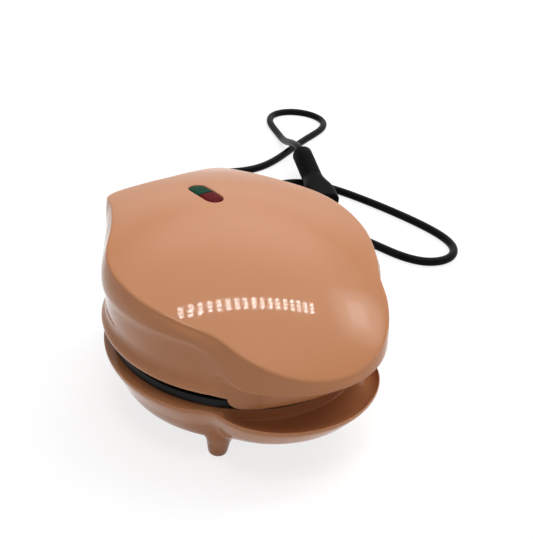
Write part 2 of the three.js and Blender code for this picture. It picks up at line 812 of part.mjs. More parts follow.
const neonLamp = (sign) => {
  const bulb = turned([
    [0, 0], [lampRadius, 0], [lampRadius, 0.75 * lampLength], [0.7 * lampRadius, 0.92 * lampLength],
    [0, lampLength],
  ], 10);
  const y = windowY + sign * holderWall;
  return bulb.rotateX(-sign * Math.PI / 2).translate(0, y, holderLow + holderWall + gap + lampRadius);
};

// Wiring in the base: a terminal block on the floor and a clamp over the lead

const floorHeight = bellyHeight + wall;
const clampInset = 34;
const clampY = rimRadius - clampInset;
const terminalStep = 12;
const terminalPlace = [0, clampY - terminalStep];
const terminalSize = [24, 9, 8];
const terminalWays = [-7.5, 0, 7.5];
const terminalBlock = cut(
  block(
    [-terminalSize[0] / 2, terminalSize[0] / 2],
    [terminalPlace[1] - terminalSize[1] / 2, terminalPlace[1] + terminalSize[1] / 2],
    [floorHeight + gap, floorHeight + gap + terminalSize[2]],
  ),
  ...terminalWays.map((x) => upright(
    headRadius / 2,
    x,
    terminalPlace[1],
    floorHeight + terminalSize[2] / 2,
    2 * floorHeight,
  )),
);

const clampSize = [20, 7, 7];
const leadRadius = cordRadius - 2 * gap;
const leadHeight = floorHeight + leadRadius + 3 * gap;
const cordClamp = cut(
  block(
    [-clampSize[0] / 2, clampSize[0] / 2],
    [clampY - clampSize[1] / 2, clampY + clampSize[1] / 2],
    [floorHeight + gap, floorHeight + gap + clampSize[2]],
  ),
  rod(
    leadRadius + gap,
    new THREE.Vector3(0, clampY - clampSize[1], leadHeight),
    new THREE.Vector3(0, clampY + clampSize[1], leadHeight),
  ),
);

// Gland: a tapered strain relief with ribs, through the belly's back wall

const glandStart = cordRoute[0][1] - gap - glandLength;
const glandProfile = () => {
  const shoulder = glandLength / 3;
  const points = [[0, 0], [glandRadius - ribDepth, 0], [glandRadius - ribDepth, shoulder]];
  const pitch = (glandLength - shoulder) / glandRibs;
  for (let i = 0; i < glandRibs; i += 1) {
    const at = shoulder + i * pitch;
    const radius = mix(glandRadius, glandTip, i / glandRibs);
    points.push([radius, at + gap], [radius - ribDepth / 3, at + 0.55 * pitch]);
    points.push([radius - ribDepth, at + 0.65 * pitch], [radius - ribDepth, at + pitch]);
  }
  points[points.length - 1][0] = glandTip;
  points.push([glandTip, glandLength], [0, glandLength]);
  return points;
};
const gland = turned(glandProfile(), 8).rotateX(-Math.PI / 2).translate(0, glandStart, glandHeight);

// The lead: a round tube along a smooth curve that the route's points pull

class LeadCurve extends THREE.Curve {
  constructor(points) {
    super();
    const p = points.map((point) => new THREE.Vector3(...point));
    const beyond = (end, next) => end.clone().multiplyScalar(2).sub(next);
    this.points = [beyond(p[0], p[1]), ...p, beyond(p[p.length - 1], p[p.length - 2])];
  }

  getPoint(share, target = new THREE.Vector3()) {
    const spans = this.points.length - 3;
    const span = Math.min(Math.floor(share * spans), spans - 1);
    const t = share * spans - span;
    const weights = [
      (1 - t) ** 3,
      3 * t ** 3 - 6 * t ** 2 + 4,
      -3 * t ** 3 + 3 * t ** 2 + 3 * t + 1,
      t ** 3,
    ];
    target.set(0, 0, 0);
    weights.forEach((weight, i) => target.addScaledVector(this.points[span + i], weight / 6));
    return target;
  }
}
const leadCurve = new LeadCurve(cordRoute);
const cord = tube(leadCurve, cordRadius, cordSides, cordSteps);

// Plug: a slim moulded grip that widens to a flat face with three pins in line.
// It is made along +X from its collar, then laid where the lead ends.

const plugCorner = 0.62;
const plugPoints = 12;
const plugRing = (x, halfWidth, halfHeight) => {
  const ring = [];
  for (let i = 0; i < plugPoints; i += 1) {
    const a = 2 * Math.PI * i / plugPoints;
    const bend = (value) => Math.sign(value) * Math.abs(value) ** plugCorner;
    const round = halfWidth > plugHeight ? bend : (value) => value;
    ring.push(new THREE.Vector3(x, halfWidth * round(Math.cos(a)), halfHeight * round(Math.sin(a))));
  }
  return ring;
};
const gripShares = [0.1, 0.56];
const faceShare = 0.97;
const plugBody = () => {
  const rings = [
    plugRing(0, 0.72 * plugHeight, 0.72 * plugHeight),
    plugRing(0.03 * plugLength, plugHeight, plugHeight),
    plugRing(gripShares[0] * plugLength, plugHeight, plugHeight),
  ];
  const pitch = (gripShares[1] - gripShares[0]) * plugLength / gripRibs;
  for (let i = 0; i < gripRibs; i += 1) {
    const x = gripShares[0] * plugLength + i * pitch;
    const low = plugHeight - ribDepth;
    rings.push(plugRing(x + 0.12 * pitch, low, low), plugRing(x + 0.42 * pitch, low, low));
    rings.push(plugRing(x + 0.54 * pitch, plugHeight, plugHeight), plugRing(x + pitch, plugHeight, plugHeight));
  }
  rings.push(
    plugRing(0.7 * plugLength, 1.25 * plugHeight, plugHeight),
    plugRing(0.82 * plugLength, 0.97 * plugFaceWidth, plugHeight),
    plugRing(faceShare * plugLength, plugFaceWidth, plugHeight),
    plugRing(plugLength, 0.93 * plugFaceWidth, 0.9 * plugHeight),
  );
  const sockets = [-1, 0, 1].map((place) => rod(
    plugPinRadius + gap,
    new THREE.Vector3(plugLength - pinSeat, place * plugPinPitch, 0),
    new THREE.Vector3(plugLength + pinSeat, place * plugPinPitch, 0),
  ));
  return cut(loft(rings), ...sockets);
};
const plugPin = () => turned([
  [0, 0], [plugPinRadius, 0], [plugPinRadius, pinSeat + pinLength - plugPinRadius],
  [plugPinRadius / 2, pinSeat + pinLength], [0, pinSeat + pinLength],
], 10).rotateY(Math.PI / 2);

// The scene

const group = new THREE.Group();
group.name = 'mini_waffle_maker';

// The body is deeper in front of its axis than behind it, so the origin goes to the middle
const frontReach = rimRadius * baseOutlineShares[0][1];
const lidReach = rimRadius * lidOutlineShares[0][1] + tongueReach;
const backReach = hingeY + barrelRadius;
const bodyShift = (Math.max(frontReach, lidReach) - backReach) / 2;

const place = (name, geometry, colour, parent = group) => {
  const material = new THREE.MeshStandardMaterial(colours[colour]);
  const mesh = new THREE.Mesh(clean(geometry), material);
  mesh.geometry.computeVertexNormals();
  mesh.name = name;
  parent.add(mesh);
  return mesh;
};

const body = new THREE.Group();
body.position.y = bodyShift;
group.add(body);

place('base_housing', baseShell, 'salmon', body);
place('lower_plate', lowerPlate, 'nonStick', body);
place('lower_heater', lowerHeater, 'steel', body);
place('lower_heat_shield', lowerShield, 'tin', body);
place('lower_thermostat', lowerThermostat, 'ceramic', body);
screwPlaces.forEach(([x, y], i) => {
  place(`lower_plate_screw_${i + 1}`, screw(lowerScrewLength), 'steel', body).position.set(x, y, lowerHeadLow);
});
place('terminal_block', terminalBlock, 'ceramic', body);
place('cord_clamp', cordClamp, 'black', body);
place('cord_gland', gland, 'black', body);
place('cord', cord, 'black', body);

place('hinge_pin_left', hingePin(-1), 'steel', body);
place('hinge_pin_right', hingePin(1), 'steel', body);
place('lead_sleeve', leadSleeve, 'black', body);

place('lid_housing', lidShell, 'salmon', body);
place('upper_plate', upperPlate, 'nonStick', body);
place('upper_heater', upperHeater, 'steel', body);
place('upper_heat_shield', upperShield, 'tin', body);
place('upper_thermostat', upperThermostat, 'ceramic', body);
place('thermal_fuse', thermalFuse, 'tin', body);
screwPlaces.forEach(([x, y], i) => {
  place(`upper_plate_screw_${i + 1}`, screw(upperScrewLength), 'steel', body).position.set(x, y, upperHeadLow);
});
place('lamp_holder', lampHolder, 'ceramic', body);
place('neon_lamp_green', neonLamp(1), 'glass', body);
place('neon_lamp_red', neonLamp(-1), 'glass', body);
place('green_lens', lensHalf(1), 'greenLens', body);
place('red_lens', lensHalf(-1), 'redLens', body);

const [collar, before] = [cordRoute.length - 1, cordRoute.length - 2].map((i) => new THREE.Vector3(...cordRoute[i]));
const heading = collar.clone().sub(before).normalize();
// The plug dips from its collar until the edge of its face lies on the table
const faceEdge = faceShare * plugLength;
const plugTilt = Math.asin(collar.z / Math.hypot(faceEdge, plugHeight)) - Math.atan2(plugHeight, faceEdge);
const plug = new THREE.Group();
plug.position.copy(collar).addScaledVector(heading, gap);
plug.rotation.set(0, plugTilt, Math.atan2(heading.y, heading.x), 'ZYX');
body.add(plug);
place('plug_body', plugBody(), 'black', plug);
['plug_pin_line', 'plug_pin_earth', 'plug_pin_neutral'].forEach((name, i) => {
  const pin = place(name, plugPin(), 'brass', plug);
  pin.position.set(plugLength - pinSeat + gap, (i - 1) * plugPinPitch, 0);
});

export default group;
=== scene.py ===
# %% [markdown]
# # A mini waffle maker in salmon plastic
# A small round cooker: two moulded shells that hinge at the back, each drawn out to a wide thumb
# tongue at the front, two cast plates between them, a two-coloured lamp window in the lid and a
# black lead with its plug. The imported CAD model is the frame: it says where everything is, and
# this script puts smooth skins and real finishes on it.

import math

import bmesh
import bpy
import numpy as np
from mathutils import Matrix


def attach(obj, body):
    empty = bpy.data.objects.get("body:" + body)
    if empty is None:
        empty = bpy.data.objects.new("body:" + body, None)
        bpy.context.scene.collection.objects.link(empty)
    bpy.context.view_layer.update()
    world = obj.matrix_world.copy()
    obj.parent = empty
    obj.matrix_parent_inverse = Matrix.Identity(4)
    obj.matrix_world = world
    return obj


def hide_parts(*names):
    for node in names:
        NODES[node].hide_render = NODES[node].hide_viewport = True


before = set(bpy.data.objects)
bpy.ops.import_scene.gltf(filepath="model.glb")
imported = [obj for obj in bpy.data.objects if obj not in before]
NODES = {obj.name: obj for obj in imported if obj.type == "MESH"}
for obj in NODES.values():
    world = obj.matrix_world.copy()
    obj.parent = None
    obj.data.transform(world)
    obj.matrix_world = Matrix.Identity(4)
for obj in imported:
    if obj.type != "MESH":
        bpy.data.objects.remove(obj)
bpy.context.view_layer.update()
MM = 0.001

# %% [markdown]
# ## The camera
# The picture is 533 by 539 pixels. The lens was fitted to the round rim and the leg of the real
# thing, and is given in pixels of that frame. Blender wants millimetres on a sensor 36 mm wide
# along the long side, so one is worked out from the other. The camera stands in front and to the
# left and looks down by about thirty degrees.

# %% Camera
FRAME_PIXELS = (533, 539)
SENSOR = 36
FOCAL_PIXELS = 969.1
EYE = np.array([-302.9, -346.7, 345.0])
FORWARD = np.array([0.58838, 0.63962, -0.49466])
RIGHT = np.array([0.76601, -0.63681, 0.08771])


def standing(right, back, place):
    """A matrix that stands at a place, with its x to the right and its z out of its back."""
    stance = np.eye(4)
    stance[:3] = np.column_stack([right, np.cross(back, right), back, place])
    return Matrix(stance.tolist())


camera_data = bpy.data.cameras.new("studio_camera")
camera_data.sensor_width = SENSOR
camera_data.lens = FOCAL_PIXELS * SENSOR / max(FRAME_PIXELS)
camera = bpy.data.objects.new("studio_camera", camera_data)
camera.matrix_world = standing(RIGHT, -FORWARD, EYE * MM)
bpy.context.scene.collection.objects.link(camera)
bpy.context.scene.camera = camera
print("lens", round(camera_data.lens, 2), "mm")

# %% [markdown]
# ## Making meshes from arrays
# A skin is a grid of points: one row after another along a profile or a path. numpy works out all
# points at once, and the faces follow from the grid's size alone. Three helpers do most of it: one
# turns arrays into a piece, one closes a grid to a skin, and one draws a smooth line through a few
# rows of control points.

# %% From arrays to a piece
BODY_SHIFT = np.array([0, 3.1, 0])
SHARP = math.radians(32)
MERGE = 1e-7


def finish_normals(mesh):
    """Doubles merged, faces turned outward, and edges steeper than SHARP left sharp."""
    work = bmesh.new()
    work.from_mesh(mesh)
    bmesh.ops.remove_doubles(work, verts=work.verts, dist=MERGE)
    bmesh.ops.recalc_face_normals(work, faces=work.faces)
    work.to_mesh(mesh)
    work.free()
    mesh.shade_smooth()
    mesh.set_sharp_from_angle(angle=SHARP)


def piece_from(name, points, faces):
    """A new object whose mesh holds the points, given in millimetres from the body's axis."""
    mesh = bpy.data.meshes.new(name)
    mesh.from_pydata(((points + BODY_SHIFT) * MM).tolist(), [], faces)
    finish_normals(mesh)
    piece = bpy.data.objects.new(name, mesh)
    bpy.context.scene.collection.objects.link(piece)
    return piece


# %% Circles and directions
def full_turn(count):
    """So many even angles round a circle, in radians."""
    return np.linspace(0, 2 * np.pi, count, endpoint=False)


def unit(vector):
    """The vector, or each row of vectors, at a length of 1."""
    return vector / np.linalg.norm(vector, axis=-1, keepdims=True)


# %% A closed grid
def closed_skin(name, grid):
    """A piece from a grid of columns by rows by xyz, whose columns close in a ring. Quads join
    neighbours, and a fan runs from the middle of each end row to its points, so it has no hole."""
    columns, rows = grid.shape[:2]
    points = np.concatenate([grid.reshape(-1, 3), [grid[:, 0].mean(0), grid[:, -1].mean(0)]])
    column = np.arange(columns)[:, None] * rows
    beside = np.roll(column, -1, 0)
    row = np.arange(rows - 1)
    quads = np.stack([column + row, column + row + 1, beside + row + 1, beside + row], -1)
    fans = [np.hstack([column + end, beside + end, np.full_like(column, columns * rows + i)])
            for i, end in enumerate((0, rows - 1))]
    return piece_from(name, points, quads.reshape(-1, 4).tolist() + np.concatenate(fans).tolist())


def drawn_through(control, steps):
    """A cubic B-spline along the next-to-last axis. Each point blends four control rows with
    (1-t)^3, 3t^3-6t^2+4, -3t^3+3t^2+3t+1 and t^3, all over six. A row beyond each end, as far
    again as the next one, makes the line start and stop exactly at its end rows."""
    first = 2 * control[..., :1, :] - control[..., 1:2, :]
    last = 2 * control[..., -1:, :] - control[..., -2:-1, :]
    rows = np.concatenate([first, control, last], axis=-2)
    t = np.arange(steps)[:, None] / steps
    weights = [(1 - t) ** 3, 3 * t**3 - 6 * t**2 + 4, -3 * t**3 + 3 * t**2 + 3 * t + 1, t**3]
    spans = rows.shape[-2] - 3
    parts = [w / 6 * rows[..., i : i + spans, None, :] for i, w in enumerate(weights)]
    line = sum(parts).reshape(*control.shape[:-2], spans * steps, control.shape[-1])
    return np.concatenate([line, control[..., -1:, :]], axis=-2)


# %% [markdown]
# ## The lead
# The lead is a fixed length of round black cable, 6.4 mm thick. It leaves the ribbed gland at the
# back, comes down to the table, goes round the right in a long loop, crosses behind the body, and
# turns once more over itself before it ends in its plug. A chain of forty points pulls one smooth
# curve, and a circle is carried along it. The same points shape the CAD solid.

# %% The lead's route
LEAD_RADIUS = 3.2
LEAD_ROUTE = np.array([
    [0, 99, 22], [0, 114, 21], [3, 132, 11], [16, 150, 4], [48, 166, 3.2], [94, 170, 3.2],
    [138, 162, 3.2], [172, 140, 3.2], [193, 108, 3.2], [200, 80, 3.2], [203, 56, 3.2],
    [213, 37, 3.2], [233, 31, 3.2], [251, 40, 3.2], [259, 61, 3.2], [257, 98, 3.2],
    [248, 148, 3.2], [235, 186, 3.2], [210, 201, 3.2], [180, 193, 3.2], [151, 188, 3.2],
    [126, 202, 3.2], [121, 228, 3.2], [141, 249, 3.2], [171, 244, 3.2], [200, 231, 3.2],
    [230, 235.5, 3.2], [265, 251, 3.2], [295.1, 263.7, 3.2], [327.1, 274, 3.2],
    [342.4, 289.4, 3.2], [342.8, 311.1, 3.2], [328, 327, 3.2], [306.3, 328.1, 3.2],
    [289.9, 313.9, 3.2], [279.7, 287.1, 3.2], [268.8, 265.8, 4.6], [258.3, 245.3, 13.5],
    [246.4, 222, 20.7], [241, 211.5, 19],
])
lead_line = drawn_through(LEAD_ROUTE, 14)


# %% The lead's skin
def swept(line, radius, sides):
    """A round section carried along a line that is never upright: the point at angle a round the
    line is the line's point plus radius times cos a sideways and sin a upward."""
    along = unit(np.gradient(line, axis=0))
    sideways = unit(np.cross(along, [0, 0, 1]))
    upward = np.cross(sideways, along)
    a = full_turn(sides)[:, None, None]
    return line + radius * (np.cos(a) * sideways + np.sin(a) * upward)


lead = closed_skin("lead", swept(lead_line, LEAD_RADIUS, sides=20))

# %% [markdown]
# ## The two shells
# Seen from above, each shell is a round of 75 mm radius that swells to a tongue at the front, and
# the lid also has two blunt corners at the back. Seen from the side, its wall changes from a plain
# flared skirt to a deep smooth chin under the tongue. So the shells are turned bodies whose
# profile changes with the angle: at each angle from the front, a list of radius and height.

# %% Sizes that both shells share
RIM = 75.0
WALL = 2.5
GAP = 0.3
LID_OUTLINE = [
    [0, 1.22], [15, 1.2], [28, 1.15], [38, 1.09], [48, 1.02], [60, 1.022], [80, 1.055],
    [100, 1.045], [120, 0.955], [132, 0.96], [142, 1.015], [152, 1.115], [165, 1.01], [180, 0.95],
]
BASE_OUTLINE = [
    [0, 1.23], [15, 1.208], [28, 1.154], [38, 1.075], [48, 0.967], [60, 0.995], [80, 1],
    [120, 0.99], [180, 1],
]


def read_table(table, degrees):
    """A smooth value at each angle, alike on both sides of the front. Between two entries it is
    the cubic with their values and, at each, the slope between its neighbours (flat at the ends)."""
    turn, value = np.array(table, float).T
    slope = np.zeros_like(value)
    slope[1:-1] = (value[2:] - value[:-2]) / (turn[2:] - turn[:-2])
    at = np.abs(degrees)
    i = np.clip(np.searchsorted(turn, at, side="left") - 1, 0, len(turn) - 2)
    width = turn[i + 1] - turn[i]
    t = (at - turn[i]) / width
    rise = 3 * t**2 - 2 * t**3
    bend = (t - 2 * t**2 + t**3) * slope[i] + (t**3 - t**2) * slope[i + 1]
    return value[i] * (1 - rise) + value[i + 1] * rise + width * bend


def ease(value, start, stop):
    """0 before start, 1 after stop and 3t^2-2t^3 between them."""
    t = np.clip((value - start) / (stop - start), 0, 1)
    return t * t * (3 - 2 * t)


def round_fall(degrees, start, stop):
    """1 up to the first angle, then a quarter of an ellipse down to 0 at the second."""
    t = np.clip((np.abs(degrees) - start) / (stop - start), 0, 1)
    return np.sqrt(1 - t * t)


def mix(a, b, share):
    """The value that lies that share of the way from a to b."""
    return a + (b - a) * share


# %% Angles of the profiles
def angles_through(stops):
    """Angles on both sides of the front from (start, stop, count) ranges between 0 and 180."""
    half = np.concatenate([np.arange(n) / n * (b - a) + a for a, b, n in stops])
    return np.concatenate([half, [180], -half[:0:-1]])


SHELL_ANGLES = angles_through([[0, 18, 12], [18, 54, 72], [54, 180, 76]])
print(len(SHELL_ANGLES), "profiles round each shell")


def around(degrees, profile):
    """Radius and height at each angle become x = r sin a, y = -r cos a and z."""
    a = np.radians(degrees)[:, None]
    radius, height = profile[..., 0], profile[..., 1]
    return np.stack([radius * np.sin(a), -radius * np.cos(a), height], -1)


def as_rows(pairs, like):
    """(radius, height) pairs, some plain numbers, as an array of angles by rows by two."""
    return np.stack([np.stack(np.broadcast_arrays(r + 0 * like, z + 0 * like), -1) for r, z in pairs], 1)


# %% [markdown]
# ## The lid
# The lid's top is one shallow dome, an elliptic paraboloid, so its reflections run without a
# break. Its edge is rounded by about 2 mm. Below it, the side wall has a soft shoulder, leans in to
# a waist and flares out again at the rim. The chin under the tongue falls straight, turns in
# sharply to a bulge and ends in a skirt that dips below the rim. Two forms of the wall are written
# down, and each row blends from one to the other between two angles.

# %% The lid's dome
LID_TOP = 112.0
DOME_Y = 32.2
DOME_ACROSS = 528.0
DOME_ALONG = 324.6


def dome_height(x, y):
    """LID_TOP - x^2 / DOME_ACROSS - (y - DOME_Y)^2 / DOME_ALONG"""
    return LID_TOP - x**2 / DOME_ACROSS - (y - DOME_Y) ** 2 / DOME_ALONG


# %% The lid's walls
LID_RIM_Z = 48.3
SKIRT_Z = 42.0
BULGE_Z = 46.2
TONGUE_Z = 59.2
FLARE_Z = 59.0
CREASE_Z = 78.3
INNER = RIM - WALL
LIP = RIM - 4.7
LIP_DEPTH = 2.6
FOOT = RIM - 1.8
CREASE = RIM + 2
SHOULDER_OUT = 1.9
FLARE_OUT = 2.9
CHIN_OUT = 1.2
CHIN_DROP = 1.8
CHIN_TUCK = 0.9
BULGE_OUT = 7.0


def lid_side(edge, edge_z, crease):
    """The wall beside the tongue: down to the shoulder, in to the waist, out to the flared rim."""

    def shoulder(share, reach):
        return mix(edge, crease, share) + SHOULDER_OUT * reach, mix(edge_z, CREASE_Z, share)

    def flank(share):
        return mix(crease, FOOT, share), mix(CREASE_Z, FLARE_Z, share)

    def flare(share, reach):
        return FOOT + FLARE_OUT * reach, mix(FLARE_Z, LID_RIM_Z, share)

    return [
        shoulder(0.35, 0.9), shoulder(0.8, 1), flank(0), flank(0.5), flank(0.85), flank(1),
        flare(0.33, 0.06), flare(0.5, 0.6), flare(0.7, 1), flare(1, 0.5),
        (mix(FOOT, INNER, 0.4), LID_RIM_Z), (INNER, LID_RIM_Z), (mix(INNER, LIP, 0.4), LID_RIM_Z),
    ]


def lid_front(edge, edge_z, bulge, skirt):
    """The wall of the tongue: straight down, sharply in, round the bulge and down the skirt."""
    bulge_r = RIM + BULGE_OUT * bulge

    def chin(share):
        return edge + CHIN_OUT * np.sqrt(share), mix(edge_z - CHIN_DROP, TONGUE_Z, share)

    def under(share, depth):
        return mix(RIM, bulge_r, share), mix(TONGUE_Z, mix(skirt, BULGE_Z, bulge), depth)

    return [
        chin(0.3), chin(0.65), chin(0.92), (edge + CHIN_TUCK, TONGUE_Z), (edge - CHIN_TUCK, TONGUE_Z),
        (mix(bulge_r, edge, 0.12), TONGUE_Z + GAP),
        under(1, 0.3), under(0.97, 0.7), under(0.75, 0.95), under(0.3, 1),
        (RIM - GAP, skirt), (INNER, skirt), (INNER - GAP, mix(skirt, LID_RIM_Z, 0.95)),
    ]


# %% The lid's profiles
LID_STEPS = 5
TOP_SHARES = np.linspace(0.005, 0.86, 30)
CEILING_SHARES = (0.85, 0.6, 0.3, 0.01)
BLEND_SHARES = np.array([0, 0.1, 0.2, 0.3, 0.4, 0.5, 0.6, 0.75, 0.9, 1, 1, 1, 1])
EDGE_ROWS = [(-7, 0), (-4.8, 0), (-3.2, 0), (-2, 0), (-1, 0.02), (-0.4, 0.22), (-0.08, 0.7), (0, 1.5)]
SHOULDER_SPAN = (34, 60)
TONGUE_SPAN = (42, 49)
BULGE_SPAN = (4, 29)
BULGE_FALL = 1.6
SKIRT_SPAN = (35.6, 41.8)


def lid_profiles(degrees):
    """Every profile of the lid, from the pole on its top, over the edge, down the wall, round the
    rim and back along the inside to the pole under the dome. The wall's top rows go from their
    tongue form to their side form over SHOULDER_SPAN and its low rows over TONGUE_SPAN."""
    a = np.radians(degrees)
    edge = RIM * read_table(LID_OUTLINE, degrees)

    def dome(radius):
        return dome_height(radius * np.sin(a), -radius * np.cos(a))

    edge_z = dome(edge)
    start, stop = (mix(a, b, BLEND_SHARES) for a, b in zip(SHOULDER_SPAN, TONGUE_SPAN))
    tongue = (1 - ease(np.abs(degrees)[:, None], start, stop))[..., None]
    bulge = round_fall(degrees, *BULGE_SPAN) ** BULGE_FALL
    skirt = mix(LID_RIM_Z - GAP, SKIRT_Z, round_fall(degrees, *SKIRT_SPAN))
    crease = mix(edge, CREASE, 0.6)
    wall = mix(as_rows(lid_side(edge, edge_z, crease), edge),
               as_rows(lid_front(edge, edge_z, bulge, skirt), edge), tongue)

    top = as_rows([(edge * share, dome(edge * share)) for share in TOP_SHARES], edge)
    turned_edge = as_rows([(edge + out, dome(edge + out) - down) for out, down in EDGE_ROWS], edge)
    outside = drawn_through(np.concatenate([top[:, -1:], turned_edge, wall], 1), LID_STEPS)

    flat = tongue[:, -1, 0]
    inner_edge = edge - WALL
    shelf = mix(mix(FLARE_Z, CREASE_Z, 0.15), TONGUE_Z + WALL, flat)
    lip = LID_RIM_Z + LIP_DEPTH
    inside = as_rows([
        (LIP, LID_RIM_Z + GAP), (LIP, lip), (INNER - GAP, lip + GAP), (INNER, shelf),
        (mix(crease - WALL, inner_edge, flat), mix(CREASE_Z - GAP, TONGUE_Z + WALL, flat)),
        (inner_edge, dome(inner_edge) - WALL),
        *[(edge * share, dome(edge * share) - WALL) for share in CEILING_SHARES],
    ], edge)
    return np.concatenate([top[:, :-1], outside, inside], 1)


lid_grid = around(SHELL_ANGLES, lid_profiles(SHELL_ANGLES))
lid = closed_skin("lid_shell", lid_grid)
print("lid skin", lid_grid.shape)

# %% [markdown]
# ## The base
# The base is the same idea upside down: a shallow bowl whose side curves in under the rim, with a
# tongue that is hollowed like a dish. Its inside carries the seat of the lower plate.

# %% The base's profiles
BASE_RIM_Z = 36.6
SEAT_Z = 38.1
SEAT = RIM - 5.1
BELLY_Z = 9.0
DISH_DEPTH = 6.2
BASE_STEPS = 6
BELLY_SHARES = [
    [0.05, 1, 1], [0.1, 0.996, 1], [0.22, 0.972, 1], [0.36, 0.942, 1], [0.5, 0.912, 0.99],
    [0.65, 0.886, 0.71], [0.82, 0.85, 0.15], [0.93, 0.815, 0], [1, 0.755, 0], [1, 0.5, 0],
    [1, 0.02, 0],
]
CAVITY_SHARES = [
    [0, 0.02], [0, 0.66], [0.12, 0.745], [0.33, 0.803], [0.52, 0.853], [0.72, 0.888], [0.97, 0.899],
]
DISH_SHARES = [
    [0.04, 0], [0.05, 0.08], [0.06, 0.5], [0.07, 0.92], [0.085, 1], [0.3, 1.03], [0.6, 0.96],
    [0.84, 0.64], [0.95, 0.16], [0.985, 0],
]
RIM_ROWS = [[-0.7, 0], [-0.2, 0.02], [0, 0.2], [0, 0.7]]


def base_profiles(degrees):
    """Every profile of the base, from the pole of its floor up the inside to the seat, across
    the dish to the rim, close round its crisp edge and down the belly to the pole underneath."""
    edge = RIM * read_table(BASE_OUTLINE, degrees)
    dish = DISH_DEPTH * ease(edge / RIM, 1, 1.09)
    floor_z = BELLY_Z + WALL
    cavity = [(RIM * out, mix(floor_z, SEAT_Z, up)) for up, out in CAVITY_SHARES]
    fold = [(mix(SEAT, edge, out), mix(SEAT_Z, BASE_RIM_Z, out) - down * dish)
            for out, down in DISH_SHARES]
    belly = [(mix(RIM, edge, reach) * out, mix(BASE_RIM_Z, BELLY_Z, down))
             for down, out, reach in BELLY_SHARES]
    rim = [(edge + out, BASE_RIM_Z - down) for out, down in RIM_ROWS]
    inside = as_rows(cavity, edge)
    outside = as_rows([(SEAT - GAP, SEAT_Z), (SEAT + GAP, SEAT_Z), *fold, *rim, *belly], edge)
    return np.concatenate([inside, drawn_through(outside, BASE_STEPS)], 1)


base_grid = around(SHELL_ANGLES, base_profiles(SHELL_ANGLES))
base = closed_skin("base_shell", base_grid)
print("base skin", base_grid.shape)

# %% [markdown]
# ## The legs
# Four tapered legs grow out of the belly, and the mould leaves a small fillet where each one
# starts. A plain turned leg would meet the belly in a hard line. So each leg is a bundle of rays:
# along every ray the side of the leg is followed up to the belly, a short curve turns from one
# into the other, and the last rows end inside the base's wall, where the two are fused.

# %% Height of the belly
BELLY_ROWS = BASE_STEPS * (len(BELLY_SHARES) - 1)
table_angles = np.linspace(-180, 180, 181)
table_radii = np.linspace(30, 74, 89)
belly_lines = base_profiles(table_angles)[:, : -BELLY_ROWS - 2 : -1]
belly_table = np.stack([np.interp(table_radii, *line.T) for line in belly_lines])


def belly_height(x, y):
    """The height of the belly's outside over a point, from a table of angle by radius: the value
    is blended from the four entries round it."""
    column = (np.degrees(np.arctan2(x, -y)) + 180) / (table_angles[1] - table_angles[0])
    row = (np.hypot(x, y) - table_radii[0]) / (table_radii[1] - table_radii[0])
    column = np.clip(column, 0, len(table_angles) - 1.001)
    row = np.clip(row, 0, len(table_radii) - 1.001)
    i, j = column.astype(int), row.astype(int)
    near = mix(belly_table[i, j], belly_table[i, j + 1], row - j)
    far = mix(belly_table[i + 1, j], belly_table[i + 1, j + 1], row - j)
    return mix(near, far, column - i)


# %% One leg
LEG_REACH = 41.5
LEG_FOOT = [[0.02, 0], [3, 0], [4.3, 0.15], [5.1, 0.9], [5.5, 2.6]]
LEG_SIDE = [[0.9, 5.1], [2.6, 5.5], [8.5, 6.5], [12.6, 7.6], [16, 7.9], [20, 7.3], [30, 5]]
LEG_HEIGHTS = np.linspace(5, 30, 251)
FILLET = 2.4
FILLET_SINK = 0.12
TOP_SINK = 1.1


def leg_piece(sign_x, sign_y):
    """A leg whose rays start at its own axis. On each ray the leg's side and the belly cross at
    one height; a curve of two ends and a pull, (1-t)^2 A + 2t(1-t) B + t^2 C, rounds that corner."""
    centre = np.array([sign_x, sign_y]) * LEG_REACH
    a = full_turn(72)
    ray = np.stack([np.cos(a), np.sin(a)], -1)
    leg_side = np.array(LEG_SIDE).T
    side = np.interp(LEG_HEIGHTS, *leg_side)
    spots = centre + ray[:, None] * side[None, :, None]
    above = belly_height(spots[..., 0], spots[..., 1]) < LEG_HEIGHTS
    cross_z = LEG_HEIGHTS[above.argmax(1)]
    cross_r = np.interp(cross_z, *leg_side)

    def on_belly(radius, sink):
        spot = centre + ray * radius[:, None]
        return np.stack([radius, belly_height(*spot.T) + sink], -1)

    foot = drawn_through(np.array(LEG_FOOT), 5)
    low_z, high_z = foot[-1, 1], cross_z - FILLET
    climb = low_z + (high_z - low_z)[:, None] * np.linspace(0, 1, 12)[1:]
    shaft = np.stack([np.interp(climb, *leg_side), climb], -1)
    t = np.linspace(0, 1, 9)[1:, None]
    start, pull = shaft[:, -1:], np.stack([cross_r, cross_z], -1)[:, None]
    reach = cross_r + 0.9 * FILLET
    stop = on_belly(reach, FILLET_SINK)[:, None]
    fillet = (1 - t) ** 2 * start + 2 * t * (1 - t) * pull + t * t * stop
    top = np.stack([on_belly(reach * share, TOP_SINK) for share in (0.98, 0.6, 0.3, 0.02)], 1)
    feet = np.broadcast_to(foot, (len(a), *foot.shape))
    rows = np.concatenate([feet, shaft, fillet, top], 1)
    spots = centre + ray[:, None] * rows[..., :1]
    return closed_skin("leg", np.concatenate([spots, rows[..., 1:]], -1))


legs = [leg_piece(x, y) for x in (-1, 1) for y in (-1, 1)]

# %% [markdown]
# ## Turned parts, rods and blocks
# Knuckles, screws, plates and the gland are turned parts. A profile of radius and height spins
# round an axis, and the result is laid along any line. Small solids are then fused to the shells
# or cut out of them with the Boolean modifier.


# %% Turned parts
POLE = 1e-3


